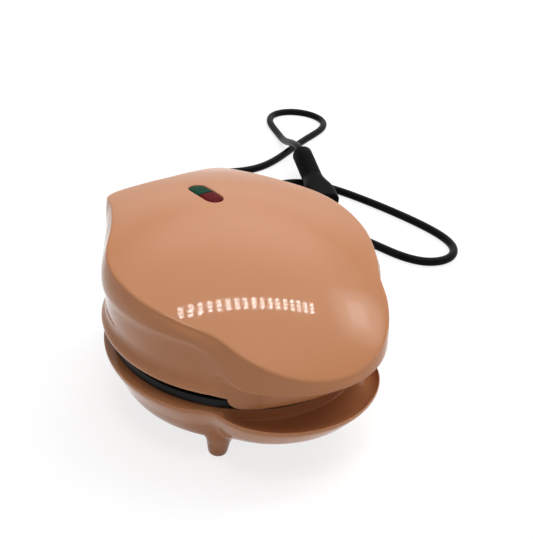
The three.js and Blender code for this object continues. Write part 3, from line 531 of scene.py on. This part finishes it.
def turned(name, profile, start=(0, 0, 0), end=None, segments=48):
    """A profile of radius and distance turned about the line from start towards end (upward when
    end is left out): start + distance along it + radius times the two directions across it."""
    line = np.array(profile, float)
    line[[0, -1], 0] = np.maximum(line[[0, -1], 0], POLE)
    start = np.array(start, float)
    axis = np.array([0, 0, 1.0]) if end is None else unit(end - start)
    across = unit(np.cross(axis, [1, 0, 0] if abs(axis[0]) < 0.9 else [0, 0, 1]))
    beside = np.cross(axis, across)
    a = full_turn(segments)[:, None, None]
    ring = np.cos(a) * across + np.sin(a) * beside
    return closed_skin(name, start + line[:, 1, None] * axis + line[:, 0, None] * ring)


def rod(name, radius, start, end, segments=48, chamfer=0.0):
    """A round bar between two points, its ends chamfered."""
    length = np.linalg.norm(np.subtract(end, start))
    profile = [[0, 0], [radius - chamfer, 0], [radius, chamfer], [radius, length - chamfer],
               [radius - chamfer, length], [0, length]]
    return turned(name, profile, start, end, segments)


def upright(name, radius, spot, low, high):
    """An upright round bar over a spot of the table."""
    return rod(name, radius, (*spot, low), (*spot, high), 32)


def block(name, x, y, z):
    """A box between two values on each axis."""
    corners = np.array([[i, j, k] for i in x for j in y for k in z])
    faces = [[0, 1, 3, 2], [4, 6, 7, 5], [0, 4, 5, 1], [2, 3, 7, 6], [0, 2, 6, 4], [1, 5, 7, 3]]
    return piece_from(name, corners, faces)


# %% Fuse and cut
def worked(piece, joins=(), cuts=()):
    """The piece with some solids fused to it and others cut from it; the tools are deleted."""
    tools = [("UNION", t) for t in joins] + [("DIFFERENCE", t) for t in cuts]
    for operation, tool in tools:
        step = piece.modifiers.new(tool.name, "BOOLEAN")
        step.operation = operation
        step.object = tool
        step.solver = "MANIFOLD"
    depsgraph = bpy.context.evaluated_depsgraph_get()
    mesh = bpy.data.meshes.new_from_object(piece.evaluated_get(depsgraph), depsgraph=depsgraph)
    piece.modifiers.clear()
    piece.data = mesh
    mesh.name = piece.name
    for _, tool in tools:
        bpy.data.objects.remove(tool)
    finish_normals(mesh)
    print(piece.name, len(mesh.polygons), "faces")
    return piece


# %% [markdown]
# ## Hinge and window
# Three knuckles share one axis at the back: the middle one belongs to the base and the outer two
# to the lid. The lid is cut away round the middle one. The lamp window is a slot with round ends
# through the dome. Three posts hang from the dome, and the upper plate is screwed to them.

# %% The hinge's solids
HINGE = np.array([0, 80.0, 45.0])
BARREL = 6.5
BORE = 2.2
ROOM = 0.8
MIDDLE = 36.0
OUTER_START = MIDDLE / 2 + 0.5
OUTER_END = OUTER_START + 12
BEYOND = 60.0


def on_hinge(x):
    """The point of the hinge's axis at that x."""
    return HINGE + [x, 0, 0]


def knuckle(name, from_x, to_x):
    """A chamfered piece of the hinge's barrel."""
    return rod(name, BARREL, on_hinge(from_x), on_hinge(to_x), 64, 0.5)


hinge_room = rod("hinge_room", BARREL + ROOM, on_hinge(-OUTER_START), on_hinge(OUTER_START), 64)
hinge_bore = rod("hinge_bore", BORE, on_hinge(-BEYOND), on_hinge(BEYOND), 32)
lid_spans = [(-OUTER_END, -OUTER_START), (OUTER_START, OUTER_END)]
lid_knuckles = [knuckle("lid_knuckle", *span) for span in lid_spans]
lid_webs = [block("lid_web", x=span, y=(65.5, 83.25), z=(48.6, 57.3)) for span in lid_spans]

# %% The window's slot
WINDOW_Y = 35.6
WINDOW_WIDTH = 10.8
WINDOW_LENGTH = 25.2


def slot_outline(wider):
    """A slot with round ends, wider all round by a value: a circle whose halves lie apart in y."""
    a = full_turn(64)
    radius = WINDOW_WIDTH / 2 + wider
    y = radius * np.sin(a) + np.sign(np.sin(a)) * (WINDOW_LENGTH - WINDOW_WIDTH) / 2
    return np.stack([radius * np.cos(a), WINDOW_Y + y], -1)


def over_dome(name, outline, rows):
    """Outlines one above the other, each drawn for a value and at a height over the dome."""
    layers = [(outline(value), up) for value, up in rows]
    grid = np.stack([np.column_stack([line, dome_height(*line.T) + up]) for line, up in layers], 1)
    return closed_skin(name, grid)


WINDOW_ROWS = [(0, -9), (0, -0.75), (0.1, -0.3), (0.35, -0.07), (0.8, 0.02), (1, 2)]
window_cut = over_dome("window_cut", slot_outline, WINDOW_ROWS)

# %% The lid's posts
SCREW_SPOTS = [(0, -32), (32, 16), (-32, 16)]
POST = 4.5
SHANK = 1.6
SHANK_HOLE = SHANK + GAP / 2
HEAD = 2.9
HEAD_HOLE = HEAD + GAP
LID_POST_LOW = 64.6


def at_screws(name, radius, low, high):
    """An upright round bar at each screw's place."""
    return [upright(name, radius, spot, low, high) for spot in SCREW_SPOTS]


def post_top(spot):
    """A height just under the dome's outside where it is lowest over a post."""
    return dome_height(*np.array(spot) * (1 + POST / math.hypot(*spot))) - 0.5


lid_posts = [upright("lid_post", POST, spot, LID_POST_LOW, post_top(spot)) for spot in SCREW_SPOTS]
lid_pilots = at_screws("lid_pilot", SHANK_HOLE, LID_POST_LOW - 1, LID_POST_LOW + 12)
worked(lid, cuts=[hinge_room])
worked(lid, joins=lid_knuckles + lid_webs + lid_posts, cuts=[hinge_bore, window_cut, *lid_pilots])

# %% The base's solids
GLAND_Z = 22.0
GLAND_RADIUS = 5.5
BEHIND = (0, 150, GLAND_Z)
base_knuckle = knuckle("base_knuckle", -MIDDLE / 2, MIDDLE / 2)
base_web = block("base_web", x=(-MIDDLE / 2, MIDDLE / 2), y=(70, 82.1), z=(29.5, 42.8))
base_bore = rod("base_bore", BORE, on_hinge(-BEYOND), on_hinge(BEYOND), 32)
gland_hole = rod("gland_hole", GLAND_RADIUS + GAP, (0, 40, GLAND_Z), BEHIND)
base_posts = at_screws("base_post", POST, low=10.2, high=22.4)
head_holes = at_screws("head_hole", HEAD_HOLE, low=-1, high=13.5)
shank_holes = at_screws("shank_hole", SHANK_HOLE, low=12, high=30)
worked(base, joins=[*legs, base_knuckle, base_web, *base_posts],
       cuts=[base_bore, gland_hole, *head_holes, *shank_holes])

# %% [markdown]
# ## The waffle plates
# Both plates are castings, each a shallow dish with a flange and rows of square pegs that press
# the pattern into the waffle. A cast peg has leaning sides, rounded corners and a soft foot, so
# each one is a stack of rounded squares. The dish is turned, and the pegs are fused to it.

# %% Pegs
PEG_PITCH = 16.0
PEG_HALF = 5.0
CAVITY_RADIUS = 62.0
peg_steps = (np.arange(-3, 3) + 0.5) * PEG_PITCH
peg_spots = [(x, y) for x in peg_steps for y in peg_steps
             if math.hypot(abs(x) + PEG_HALF, abs(y) + PEG_HALF) < CAVITY_RADIUS - GAP]
PEG_ROWS = [
    [0.3, -0.6], [5.9, -0.6], [5.75, 0.03], [5.25, 0.22], [4.92, 0.75], [4.5, 2.6], [4.12, 4.7],
    [3.95, 5.22], [3.55, 5.46], [2.8, 5.5], [0.1, 5.5],
]


def peg_piece(x, y, floor_z, way):
    """Rounded squares of a given half width and height: x = w cos a |cos a|^-0.55 and likewise y,
    so that the outline follows |x|^4.4 + |y|^4.4 = w^4.4."""
    half, height = np.array(PEG_ROWS).T
    a = full_turn(32)[:, None]
    bend = np.stack([np.sign(w) * np.abs(w) ** 0.45 for w in (np.cos(a), np.sin(a))], -1)
    heights = np.broadcast_to((floor_z + way * height)[:, None], (len(a), len(height), 1))
    return closed_skin("peg", np.concatenate([[x, y] + half[:, None] * bend, heights], -1))


# %% Plates
PLATE_DEPTH = 8.0
BOSS_TOP = 10.8
BOSS_END = 19.0


def plate_piece(name, radius, face_z, way):
    """A turned dish whose face looks up (way 1) or down (way -1), with pegs and screw bosses."""
    profile = [
        [0, -PLATE_DEPTH], [61.2, -PLATE_DEPTH], [62, -7.8], [62.4, -7], [63.4, -1], [63.7, -0.3],
        [64.4, 0], [radius - 0.8, 0], [radius - 0.2, -0.2], [radius, -0.8], [radius, -4.3],
        [radius - 0.3, -4.6], [65.2, -4.6], [64.6, -5.2], [63.2, -10.6], [62.6, -11], [0, -11],
    ]
    plate = turned(name, [(r, face_z + way * z) for r, z in profile], segments=128)
    pegs = [peg_piece(x, y, face_z - way * PLATE_DEPTH, way) for x, y in peg_spots]
    bosses = at_screws("boss", POST, *sorted((face_z - way * BOSS_TOP, face_z - way * BOSS_END)))
    return worked(plate, joins=pegs + bosses)


LOWER_FACE = 43.0
UPPER_FACE = 44.0
lower_plate = plate_piece("lower_plate_casting", radius=69.8, face_z=LOWER_FACE, way=1)
upper_plate = plate_piece("upper_plate_casting", radius=68.6, face_z=UPPER_FACE, way=-1)
worked(lower_plate, cuts=at_screws("pilot", SHANK_HOLE, low=23, high=31.7))
upper_holes = at_screws("hole", SHANK_HOLE, low=UPPER_FACE, high=70)
upper_recesses = at_screws("recess", HEAD_HOLE, low=UPPER_FACE, high=54)
worked(upper_plate, cuts=upper_holes + upper_recesses)


# %% Screws
CROSS_HALF, CROSS_REACH, CROSS_DEPTH = 0.42, 1.7, 0.9


def screw_piece(name, spot, low, length):
    """A pan head with a domed face and a cross recess, and a pointed shank."""
    profile = [[0, 0], [1.2, 0.02], [2.1, 0.2], [2.7, 0.7], [HEAD, 1.4], [HEAD, 1.7], [SHANK, 1.7],
               [SHANK, length - SHANK], [0, length]]
    screw = turned(name, [(r, low + z) for r, z in profile], (*spot, 0), segments=32)
    x, y = spot
    cross = [block("cross", (x - w, x + w), (y - d, y + d), (low - 0.5, low + CROSS_DEPTH))
             for w, d in ((CROSS_HALF, CROSS_REACH), (CROSS_REACH, CROSS_HALF))]
    return worked(screw, cuts=cross)


def screw_set(name, low, length):
    """A screw at each place, numbered from one."""
    return [screw_piece(f"{name}_{i + 1}", spot, low, length) for i, spot in enumerate(SCREW_SPOTS)]


lower_screws = screw_set("lower_screw", low=11.5, length=17.1)
upper_screws = screw_set("upper_screw", low=52.3, length=21.8)

# %% [markdown]
# ## Lenses, gland and hinge pins
# The two half lenses are pillows that follow the dome and sit a little below it. The gland that
# keeps the lead from kinking is soft, tapered and ribbed. Each hinge pin ends in a domed head.


# %% Lenses
def half_slot(inset, sign):
    """Half of a slot, drawn in by an inset: a straight edge by the middle and a round end."""
    radius = WINDOW_WIDTH / 2 - GAP - inset
    far = (WINDOW_LENGTH - WINDOW_WIDTH) / 2
    a = np.linspace(0, np.pi, 33)
    near = GAP / 2 + min(inset, 1.2) * 0.3
    straight = np.linspace(near, far, 7)[:-1]
    x = np.concatenate([[radius] * 6, radius * np.cos(a), [-radius] * 6])
    y = np.concatenate([straight, far + radius * np.sin(a), straight[::-1]])
    return np.stack([sign * x, WINDOW_Y + sign * y], -1)


LENS_ROWS = [
    [0, -3.6], [0, -1.1], [0.06, -0.72], [0.25, -0.45], [0.6, -0.26], [1.2, -0.13], [2.4, -0.05],
    [4, -0.02],
]


def lens_piece(name, sign):
    """A pillow over half of the window: insets that grow while its height nears the dome's."""
    return over_dome(name, lambda inset: half_slot(inset, sign), LENS_ROWS)


green_pillow = lens_piece("green_pillow", 1)
red_pillow = lens_piece("red_pillow", -1)

# %% Gland
GLAND_LENGTH = 34.0
GLAND_START = LEAD_ROUTE[0, 1] - GAP - GLAND_LENGTH
GLAND_SLEEVE = GLAND_LENGTH / 3
GLAND_RIBS = 5
RIB_DEPTH = 0.7


def gland_profile():
    """A plain sleeve, then ribs on a cone that ends close round the lead: the radius is the cone's
    plus half a rib's depth times (w - 1), with w a cosine that is cut off at 1 and -1."""
    share = np.linspace(0, 1, 141)
    along = mix(GLAND_SLEEVE, GLAND_LENGTH, share)
    wave = np.clip(np.cos(2 * np.pi * GLAND_RIBS * share) * 1.6, -1, 1)
    ribbed = np.stack([mix(6.2, 4.3, share) + RIB_DEPTH / 2 * (wave - 1), along], -1)
    start = [[0, 0], [GLAND_RADIUS - 0.4, 0], [GLAND_RADIUS, 0.4], [GLAND_RADIUS, GLAND_SLEEVE - 0.4]]
    end = [[radius, GLAND_LENGTH] for radius in (4.1, 3.6, 0)]
    return np.concatenate([start, ribbed, end])


gland = turned("gland_sleeve", gland_profile(), (0, GLAND_START, GLAND_Z), BEHIND)


# %% Hinge pins
PIN_START = 5.3
PIN_HEAD = [[3.2, 0], [3.4, 0.3], [3.3, 0.8], [2.6, 1.3], [1.2, 1.5], [0, 1.5]]


def pin_piece(name, sign):
    """A plain pin with a domed head outside the lid's knuckle."""
    end = OUTER_END + GAP - PIN_START
    head = [[radius, end + out] for radius, out in PIN_HEAD]
    profile = [[0, 0], [1.9, 0], [2.15, 0.3], [2.15, end], *head]
    return turned(name, profile, on_hinge(sign * PIN_START), on_hinge(sign * BEYOND), 40)


pins = [pin_piece("left_pin", -1), pin_piece("right_pin", 1)]

# %% [markdown]
# ## The plug
# The plug is one moulded grip that widens from a round collar to a flat face with three pins in
# line. Fine grooves run round the grip. It dips from its collar until the lower edge of its face
# lies on the table. Along its length, three functions give the half width, the half height and
# how square the section is, so one grid makes the whole body.

# %% The plug's own axes
PLUG_LENGTH = 75.0
PLUG_HALF = 8.5
FACE_HALF = 13.5
FACE_SHARE = 0.97
PIN_PITCH = 9.5
collar = LEAD_ROUTE[-1]
heading = unit(collar - LEAD_ROUTE[-2])
face_edge = FACE_SHARE * PLUG_LENGTH
dip = math.asin(collar[2] / math.hypot(face_edge, PLUG_HALF)) - math.atan2(PLUG_HALF, face_edge)
yaw = math.atan2(heading[1], heading[0])
PLUG_START = collar + heading * GAP
PLUG_ALONG = np.array([math.cos(dip) * math.cos(yaw), math.cos(dip) * math.sin(yaw), -math.sin(dip)])
PLUG_SIDE = np.array([-math.sin(yaw), math.cos(yaw), 0])
PLUG_UP = np.cross(PLUG_ALONG, PLUG_SIDE)
print("plug dips by", round(math.degrees(dip), 1), "degrees")


# %% The plug's body
PLUG_STATIONS = [(0, 0.9, 6), (0.9, 42, 149), (42, 73.5, 49), (73.5, PLUG_LENGTH, 7)]
GROOVES = 10
GROOVE_DEPTH = 0.65
GRIP_SHARES = (0.13, 0.53)


def plug_grid():
    """Sections |y/w|^n + |z/h|^n = 1 at stations along the plug. w eases from the grip's half
    width to the face's, n from 2 to 3.2, and the grooves take up to GROOVE_DEPTH off the grip."""
    ranges = [np.linspace(a, b, n, endpoint=False) for a, b, n in PLUG_STATIONS]
    x = np.concatenate([*ranges, [PLUG_LENGTH]])
    share = x / PLUG_LENGTH
    collar_round = np.sqrt(np.clip(1 - (1 - np.clip(x / 2.2, 0, 1)) ** 2, 0, 1))
    face_round = np.sqrt(np.clip(1 - np.clip((x - 73.3) / 1.7, 0, 1) ** 2, 0, 1))
    start, stop = GRIP_SHARES
    turns = GROOVES * (share - start) / (stop - start)
    waves = np.clip(1.5 * np.cos(2 * np.pi * turns) - 0.6, 0, 1)
    on_grip = ease(share, start - 0.015, start + 0.005) * (1 - ease(share, stop - 0.005, stop + 0.015))
    grooves = GROOVE_DEPTH * waves * on_grip
    swell = ease(share, 0.5, 0.86)
    square = ease(share, 0.56, 0.8)
    wide = mix(PLUG_HALF, FACE_HALF, swell) - grooves
    high = PLUG_HALF - grooves
    ends = (0.72 + 0.28 * collar_round) * (0.9 + 0.1 * face_round)
    a = full_turn(64)[:, None]
    power = mix(1, 0.62, square)

    def bend(value):
        return np.sign(value) * np.abs(value) ** power

    across = (wide * ends * bend(np.cos(a)))[..., None] * PLUG_SIDE
    up = (high * ends * bend(np.sin(a)))[..., None] * PLUG_UP
    return PLUG_START + x[:, None] * PLUG_ALONG + across + up


TIP_SHARES = [(1, 1), (0.86, 0.45), (0.5, 0.1), (0, 0)]


def plug_pin(name, place, radius, start, stop, round_end):
    """A round pin beside the plug's axis, from one distance along it to another."""
    foot = PLUG_START + place * PIN_PITCH * PLUG_SIDE + start * PLUG_ALONG
    length = stop - start
    tip = [[radius * wide, length - round_end * back] for wide, back in TIP_SHARES]
    return turned(name, [[0, 0], [radius, 0], *tip], foot, foot + PLUG_ALONG, 32)


plug = closed_skin("plug_grip", plug_grid())
PIN_PLACES = {"line_pin": -1, "earth_pin": 0, "neutral_pin": 1}
sockets = [plug_pin("socket", place, radius=2.3, start=69, stop=80, round_end=0.1)
           for place in PIN_PLACES.values()]
worked(plug, cuts=sockets)
plug_pins = [plug_pin(name, place, radius=2.0, start=69.3, stop=94.3, round_end=1.4)
             for name, place in PIN_PLACES.items()]

# %% [markdown]
# ## Materials
# Every finish is a node material on Object coordinates, so it neither slides nor stretches. What
# several of them share, a fine moulded grain and soft cloudy patches, is a node group with named
# inputs and outputs. The Principled shader stays in each material.


# %% Node helpers
def add_node(tree, kind, links=None, **values):
    """A node with its attributes set, and its inputs linked or given a value by name or number."""
    node = tree.nodes.new(kind)
    for key, value in values.items():
        setattr(node, key, value)
    for key, value in (links or {}).items():
        if isinstance(value, bpy.types.NodeSocket):
            tree.links.new(value, node.inputs[key])
        else:
            node.inputs[key].default_value = value
    return node


def maths(tree, operation, *values):
    """The result of a maths node on sockets or plain numbers."""
    return add_node(tree, "ShaderNodeMath", dict(enumerate(values)), operation=operation).outputs[0]


def ranged(tree, value, start, stop, low, high):
    """The value spread so that start to stop become low to high, and held there beyond them."""
    spread = {"Value": value, "From Min": start, "From Max": stop, "To Min": low, "To Max": high}
    return add_node(tree, "ShaderNodeMapRange", spread).outputs["Result"]


def blended(tree, share, first, second):
    """The colour that lies that share of the way from the first to the second."""
    mixed = {"Factor": share, 6: first, 7: second}
    return add_node(tree, "ShaderNodeMix", mixed, data_type="RGBA").outputs[2]


def colour(red, green, blue):
    """A screen colour from 0 to 255 as the linear values that a shader takes."""
    share = np.array([red, green, blue]) / 255
    linear = np.where(share <= 0.04045, share / 12.92, ((share + 0.055) / 1.055) ** 2.4)
    return (*linear.tolist(), 1.0)


# %% Shared surface group
grain = bpy.data.node_groups.new("moulded_grain", "ShaderNodeTree")
for label, way in (("Size", "INPUT"), ("Patches", "INPUT"), ("Grain", "OUTPUT"), ("Cloud", "OUTPUT")):
    grain.interface.new_socket(label, in_out=way, socket_type="NodeSocketFloat")
given = grain.nodes.new("NodeGroupInput")
result = grain.nodes.new("NodeGroupOutput")
where = grain.nodes.new("ShaderNodeTexCoord").outputs["Object"]
for label, size, detail, rough in (("Grain", "Size", 2.0, 0.6), ("Cloud", "Patches", 3.0, 0.55)):
    spread = {"Vector": where, "Scale": given.outputs[size], "Detail": detail, "Roughness": rough}
    noise = add_node(grain, "ShaderNodeTexNoise", spread)
    grain.links.new(noise.outputs["Fac"], result.inputs[label])


# %% A finish from the group
GRAIN_HEIGHT = 2e-5


def finish(name, deep, light, rough, size=900.0, patches=18.0, bump=0.1, **sockets):
    """A finish: two near colours blended by the cloud, roughness between two values by the same
    cloud, and a bump from the grain. Other sockets of the shader are given by name."""
    made = bpy.data.materials.new(name)
    made.use_nodes = True
    tree = made.node_tree
    shader = tree.nodes["Principled BSDF"]
    group = add_node(tree, "ShaderNodeGroup", {"Size": size, "Patches": patches}, node_tree=grain)
    cloud, height = group.outputs["Cloud"], group.outputs["Grain"]
    tree.links.new(blended(tree, cloud, colour(*deep), colour(*light)), shader.inputs["Base Color"])
    tree.links.new(ranged(tree, cloud, 0.3, 0.7, *rough), shader.inputs["Roughness"])
    moulded = {"Height": height, "Strength": bump, "Distance": GRAIN_HEIGHT}
    relief = add_node(tree, "ShaderNodeBump", moulded)
    tree.links.new(relief.outputs["Normal"], shader.inputs["Normal"])
    for label, value in sockets.items():
        shader.inputs[label.replace("_", " ")].default_value = value
    return made


# %% The finishes
salmon = finish("salmon_gloss", (187, 125, 83), (191, 129, 87), (0.04, 0.06), 1400, bump=0.012, IOR=1.31)
black_pvc = finish("black_pvc", (13, 13, 14), (19, 19, 20), (0.32, 0.42), 2200, bump=0.25, IOR=1.07)
lead_pvc = finish("lead_pvc", (13, 13, 14), (18, 18, 19), (0.24, 0.32), 2600, bump=0.15, IOR=1.11)
non_stick = finish("non_stick", (17, 18, 18), (24, 25, 25), (0.34, 0.44), 2600, bump=0.3, IOR=1.25)
bright_steel = finish("bright_steel", (186, 188, 190), (198, 200, 202), (0.22, 0.34), Metallic=1.0)
tin_plate = finish("tin_plate", (150, 153, 155), (168, 171, 173), (0.4, 0.55), Metallic=1.0)
ceramic = finish("ceramic", (226, 221, 209), (236, 232, 222), (0.5, 0.65))
pin_brass = finish("pin_brass", (190, 172, 120), (204, 188, 138), (0.22, 0.32), Metallic=1.0)
clear_glass = finish("clear_glass", (220, 223, 220), (232, 234, 232), (0.04, 0.08))
green_lens = finish("green_lens", (2, 52, 35), (8, 66, 47), (0.2, 0.3), patches=160, IOR=1.07)
red_lens = finish("red_lens", (80, 12, 18), (98, 22, 28), (0.2, 0.3), patches=160, IOR=1.07)


def coat(piece, look):
    """The piece shows that finish alone."""
    piece.data.materials.clear()
    piece.data.materials.append(look)


def dress(piece, look, body, node):
    """The piece has its finish, rides on a body and stands in for its CAD node, which is hidden."""
    coat(piece, look)
    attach(piece, body)
    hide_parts(node)


dress(lid, salmon, "lid", "lid_housing")
dress(base, salmon, "base", "base_housing")
dress(lead, lead_pvc, "base", "cord")
dress(gland, black_pvc, "base", "cord_gland")
dress(plug, black_pvc, "base", "plug_body")
dress(lower_plate, non_stick, "base", "lower_plate")
dress(upper_plate, non_stick, "lid", "upper_plate")
dress(green_pillow, green_lens, "lid", "green_lens")
dress(red_pillow, red_lens, "lid", "red_lens")
for piece, node in zip(pins, ("hinge_pin_left", "hinge_pin_right")):
    dress(piece, bright_steel, "lid", node)
for piece, node in zip(plug_pins, ("plug_pin_line", "plug_pin_earth", "plug_pin_neutral")):
    dress(piece, pin_brass, "base", node)
for i in range(len(SCREW_SPOTS)):
    dress(lower_screws[i], bright_steel, "base", f"lower_plate_screw_{i + 1}")
    dress(upper_screws[i], bright_steel, "lid", f"upper_plate_screw_{i + 1}")

# %% Finishes of the CAD nodes that stay
KEPT_NODES = [
    (bright_steel, ("lower_heater", "upper_heater")),
    (tin_plate, ("lower_heat_shield", "upper_heat_shield", "thermal_fuse")),
    (ceramic, ("lower_thermostat", "upper_thermostat", "lamp_holder", "terminal_block")),
    (clear_glass, ("neon_lamp_green", "neon_lamp_red")),
    (black_pvc, ("cord_clamp", "lead_sleeve")),
]
for look, names in KEPT_NODES:
    for name in names:
        coat(NODES[name], look)
    print(len(names), "nodes keep their meshes in", look.name)

# %% [markdown]
# ## Studio
# The maker stands on a white table under a white sky. Both are white to the eye, through glass and
# in reflections, but to the light that falls on the walls they are dimmer, so the walls stay deep.
# The rest comes from lamps above: a wide soft panel overhead that lays a pale veil over the dome, a
# faint one behind, a small bright one that lights the edges, and two that make a window's soft
# reflection at the right.

# %% Floor
FLOOR_SIZE = 12000.0
FLOOR_Z = -0.05
BOUNCE_TONE = (0.8, 0.8, 0.8, 1)
SEEN_TONE = (0.25, 0.25, 0.25, 1)
corners = np.array([[-1, -1, 0], [1, -1, 0], [1, 1, 0], [-1, 1, 0]]) * FLOOR_SIZE
floor = piece_from("floor", corners + [0, 0, FLOOR_Z], [[0, 1, 2, 3]])
floor_look = bpy.data.materials.new("white_table")
floor_look.use_nodes = True
tree = floor_look.node_tree


def seen_directly(tree):
    """1 for the rays of the camera, of reflections and through glass, else 0."""
    ray = tree.nodes.new("ShaderNodeLightPath").outputs
    seen = maths(tree, "MAXIMUM", ray["Is Camera Ray"], ray["Is Glossy Ray"])
    return maths(tree, "MAXIMUM", seen, ray["Is Transmission Ray"])


board = tree.nodes["Principled BSDF"]
tone = blended(tree, seen_directly(tree), BOUNCE_TONE, SEEN_TONE)
tree.links.new(tone, board.inputs["Base Color"])
board.inputs["Roughness"].default_value = 0.8
board.inputs["Specular IOR Level"].default_value = 0.0

# %% [markdown]
# The table's own glow lifts it to white where it is seen. It is fainter near the maker, where the
# lamps light the table too, and full from 1.6 m on, so that the horizon doesn't show.

# %% Glow
NEAR, FAR = 0.4, 1.6
NEAR_GLOW, FAR_GLOW = 0.79, 1.0
spot = tree.nodes.new("ShaderNodeTexCoord").outputs["Object"]
distance = add_node(tree, "ShaderNodeVectorMath", {0: spot}, operation="LENGTH").outputs["Value"]
rise = ranged(tree, distance, NEAR, FAR, NEAR_GLOW, FAR_GLOW)
lift = maths(tree, "MULTIPLY", seen_directly(tree), rise)
glow = add_node(tree, "ShaderNodeEmission", {"Strength": lift})
both = add_node(tree, "ShaderNodeAddShader", {0: board.outputs[0], 1: glow.outputs[0]})
tree.links.new(both.outputs[0], tree.nodes["Material Output"].inputs["Surface"])
coat(floor, floor_look)

# %% World
SKY_LOW, SKY_HIGH = 0.25, 0.3
world = bpy.data.worlds.new("studio_world")
bpy.context.scene.world = world
world.use_nodes = True
tree = world.node_tree
view = tree.nodes.new("ShaderNodeTexCoord").outputs["Generated"]
height = add_node(tree, "ShaderNodeSeparateXYZ", {"Vector": view}).outputs["Z"]
sky = ranged(tree, height, 0, 1, SKY_LOW, SKY_HIGH)
strength = add_node(tree, "ShaderNodeMix", {"Factor": seen_directly(tree), "A": sky, "B": 1.0})
backdrop = tree.nodes["Background"]
backdrop.inputs["Color"].default_value = (1, 1, 1, 1)
tree.links.new(strength.outputs["Result"], backdrop.inputs["Strength"])


# %% Lamps
def panel(name, place, aim, width, height, radiance, along=(0, 0, 1)):
    """A rectangular lamp that looks from its place to a point. Its height runs as near as it can
    along a direction. A lamp's power is its radiance times pi times its area."""
    data = bpy.data.lights.new(name, "AREA")
    data.shape = "RECTANGLE"
    data.size, data.size_y = width, height
    data.energy = radiance * math.pi * width * height
    lamp = bpy.data.objects.new(name, data)
    back = unit(place - aim)
    lamp.matrix_world = standing(unit(np.cross(along, back)), back, place)
    bpy.context.scene.collection.objects.link(lamp)
    data.use_nodes = True
    return lamp


def face_axes(tree):
    """Both coordinates over a lamp's face, from 0 to 1."""
    spot = tree.nodes.new("ShaderNodeNewGeometry")
    face = add_node(tree, "ShaderNodeSeparateXYZ", {"Vector": spot.outputs["Parametric"]})
    return face.outputs["X"], face.outputs["Y"]


# %% Soft panels
CENTRE = np.array([0, 0, 0.08])
FADE = 5.1


def fade(tree, share):
    """FADE u (1 - u), where u is the share of the way over a lamp's face."""
    rest = maths(tree, "SUBTRACT", 1.0, share)
    return maths(tree, "MULTIPLY", maths(tree, "MULTIPLY", FADE, share), rest)


def soft_panel(name, direction, distance, width, height, radiance):
    """A panel that far from the object's middle in a direction, and facing it. It fades to nothing
    at its edges, by the product of both fades, at most 1."""
    place = CENTRE + distance * unit(direction)
    lamp = panel(name, place, CENTRE, width, height, radiance)
    tree = lamp.data.node_tree
    across, up = face_axes(tree)
    product = maths(tree, "MULTIPLY", fade(tree, across), fade(tree, up))
    tree.links.new(maths(tree, "MINIMUM", product, 1.0), tree.nodes["Emission"].inputs["Strength"])


soft_panel("back_panel", (0.5, 0.54, 0.62), 2.6, 3.0, 2.4, 0.55)
soft_panel("top_panel", (0.36, 0.1, 0.92), 2.3, 3.3, 3.3, 1.5)
soft_panel("edge_panel", (-0.22, -0.18, 0.96), 1.6, 0.55, 0.55, 9.0)
soft_panel("window_wide", (0.75, -0.2, 0.63), 2.0, 0.6, 0.5, 2.6)
soft_panel("window_core", (0.75, -0.2, 0.63), 1.9, 0.3, 0.22, 3.0)

# %% [markdown]
# A strip of small lamps hangs over the table and mirrors itself in the dome as a row of dots. One
# long lamp does this: across its face, a pattern of short dashes lets the light through.

# %% The strip of lamps
STRIP_FROM = np.array([0.11, 0.06, 1.5])
STRIP_TO = np.array([1.14, -0.33, 1.5])
strip_span = STRIP_TO - STRIP_FROM
strip_middle = (STRIP_FROM + STRIP_TO) / 2
strip_length = np.linalg.norm(strip_span)
strip = panel("lamp_strip", strip_middle, aim=strip_middle - [0, 0, 1], width=0.11, height=strip_length,
              radiance=44.0, along=strip_span)
tree = strip.data.node_tree


def dashes(value, count, share):
    """1 in the first share of each of so many equal steps along the value, else 0."""
    step = maths(tree, "FRACT", maths(tree, "MULTIPLY", value, float(count)))
    return maths(tree, "LESS_THAN", step, share)


across, along = face_axes(tree)
pattern = maths(tree, "MULTIPLY", dashes(across, count=3, share=0.6), dashes(along, count=17, share=0.5))
tree.links.new(pattern, tree.nodes["Emission"].inputs["Strength"])

# %% Colour management
bpy.context.scene.view_settings.view_transform = "Standard"
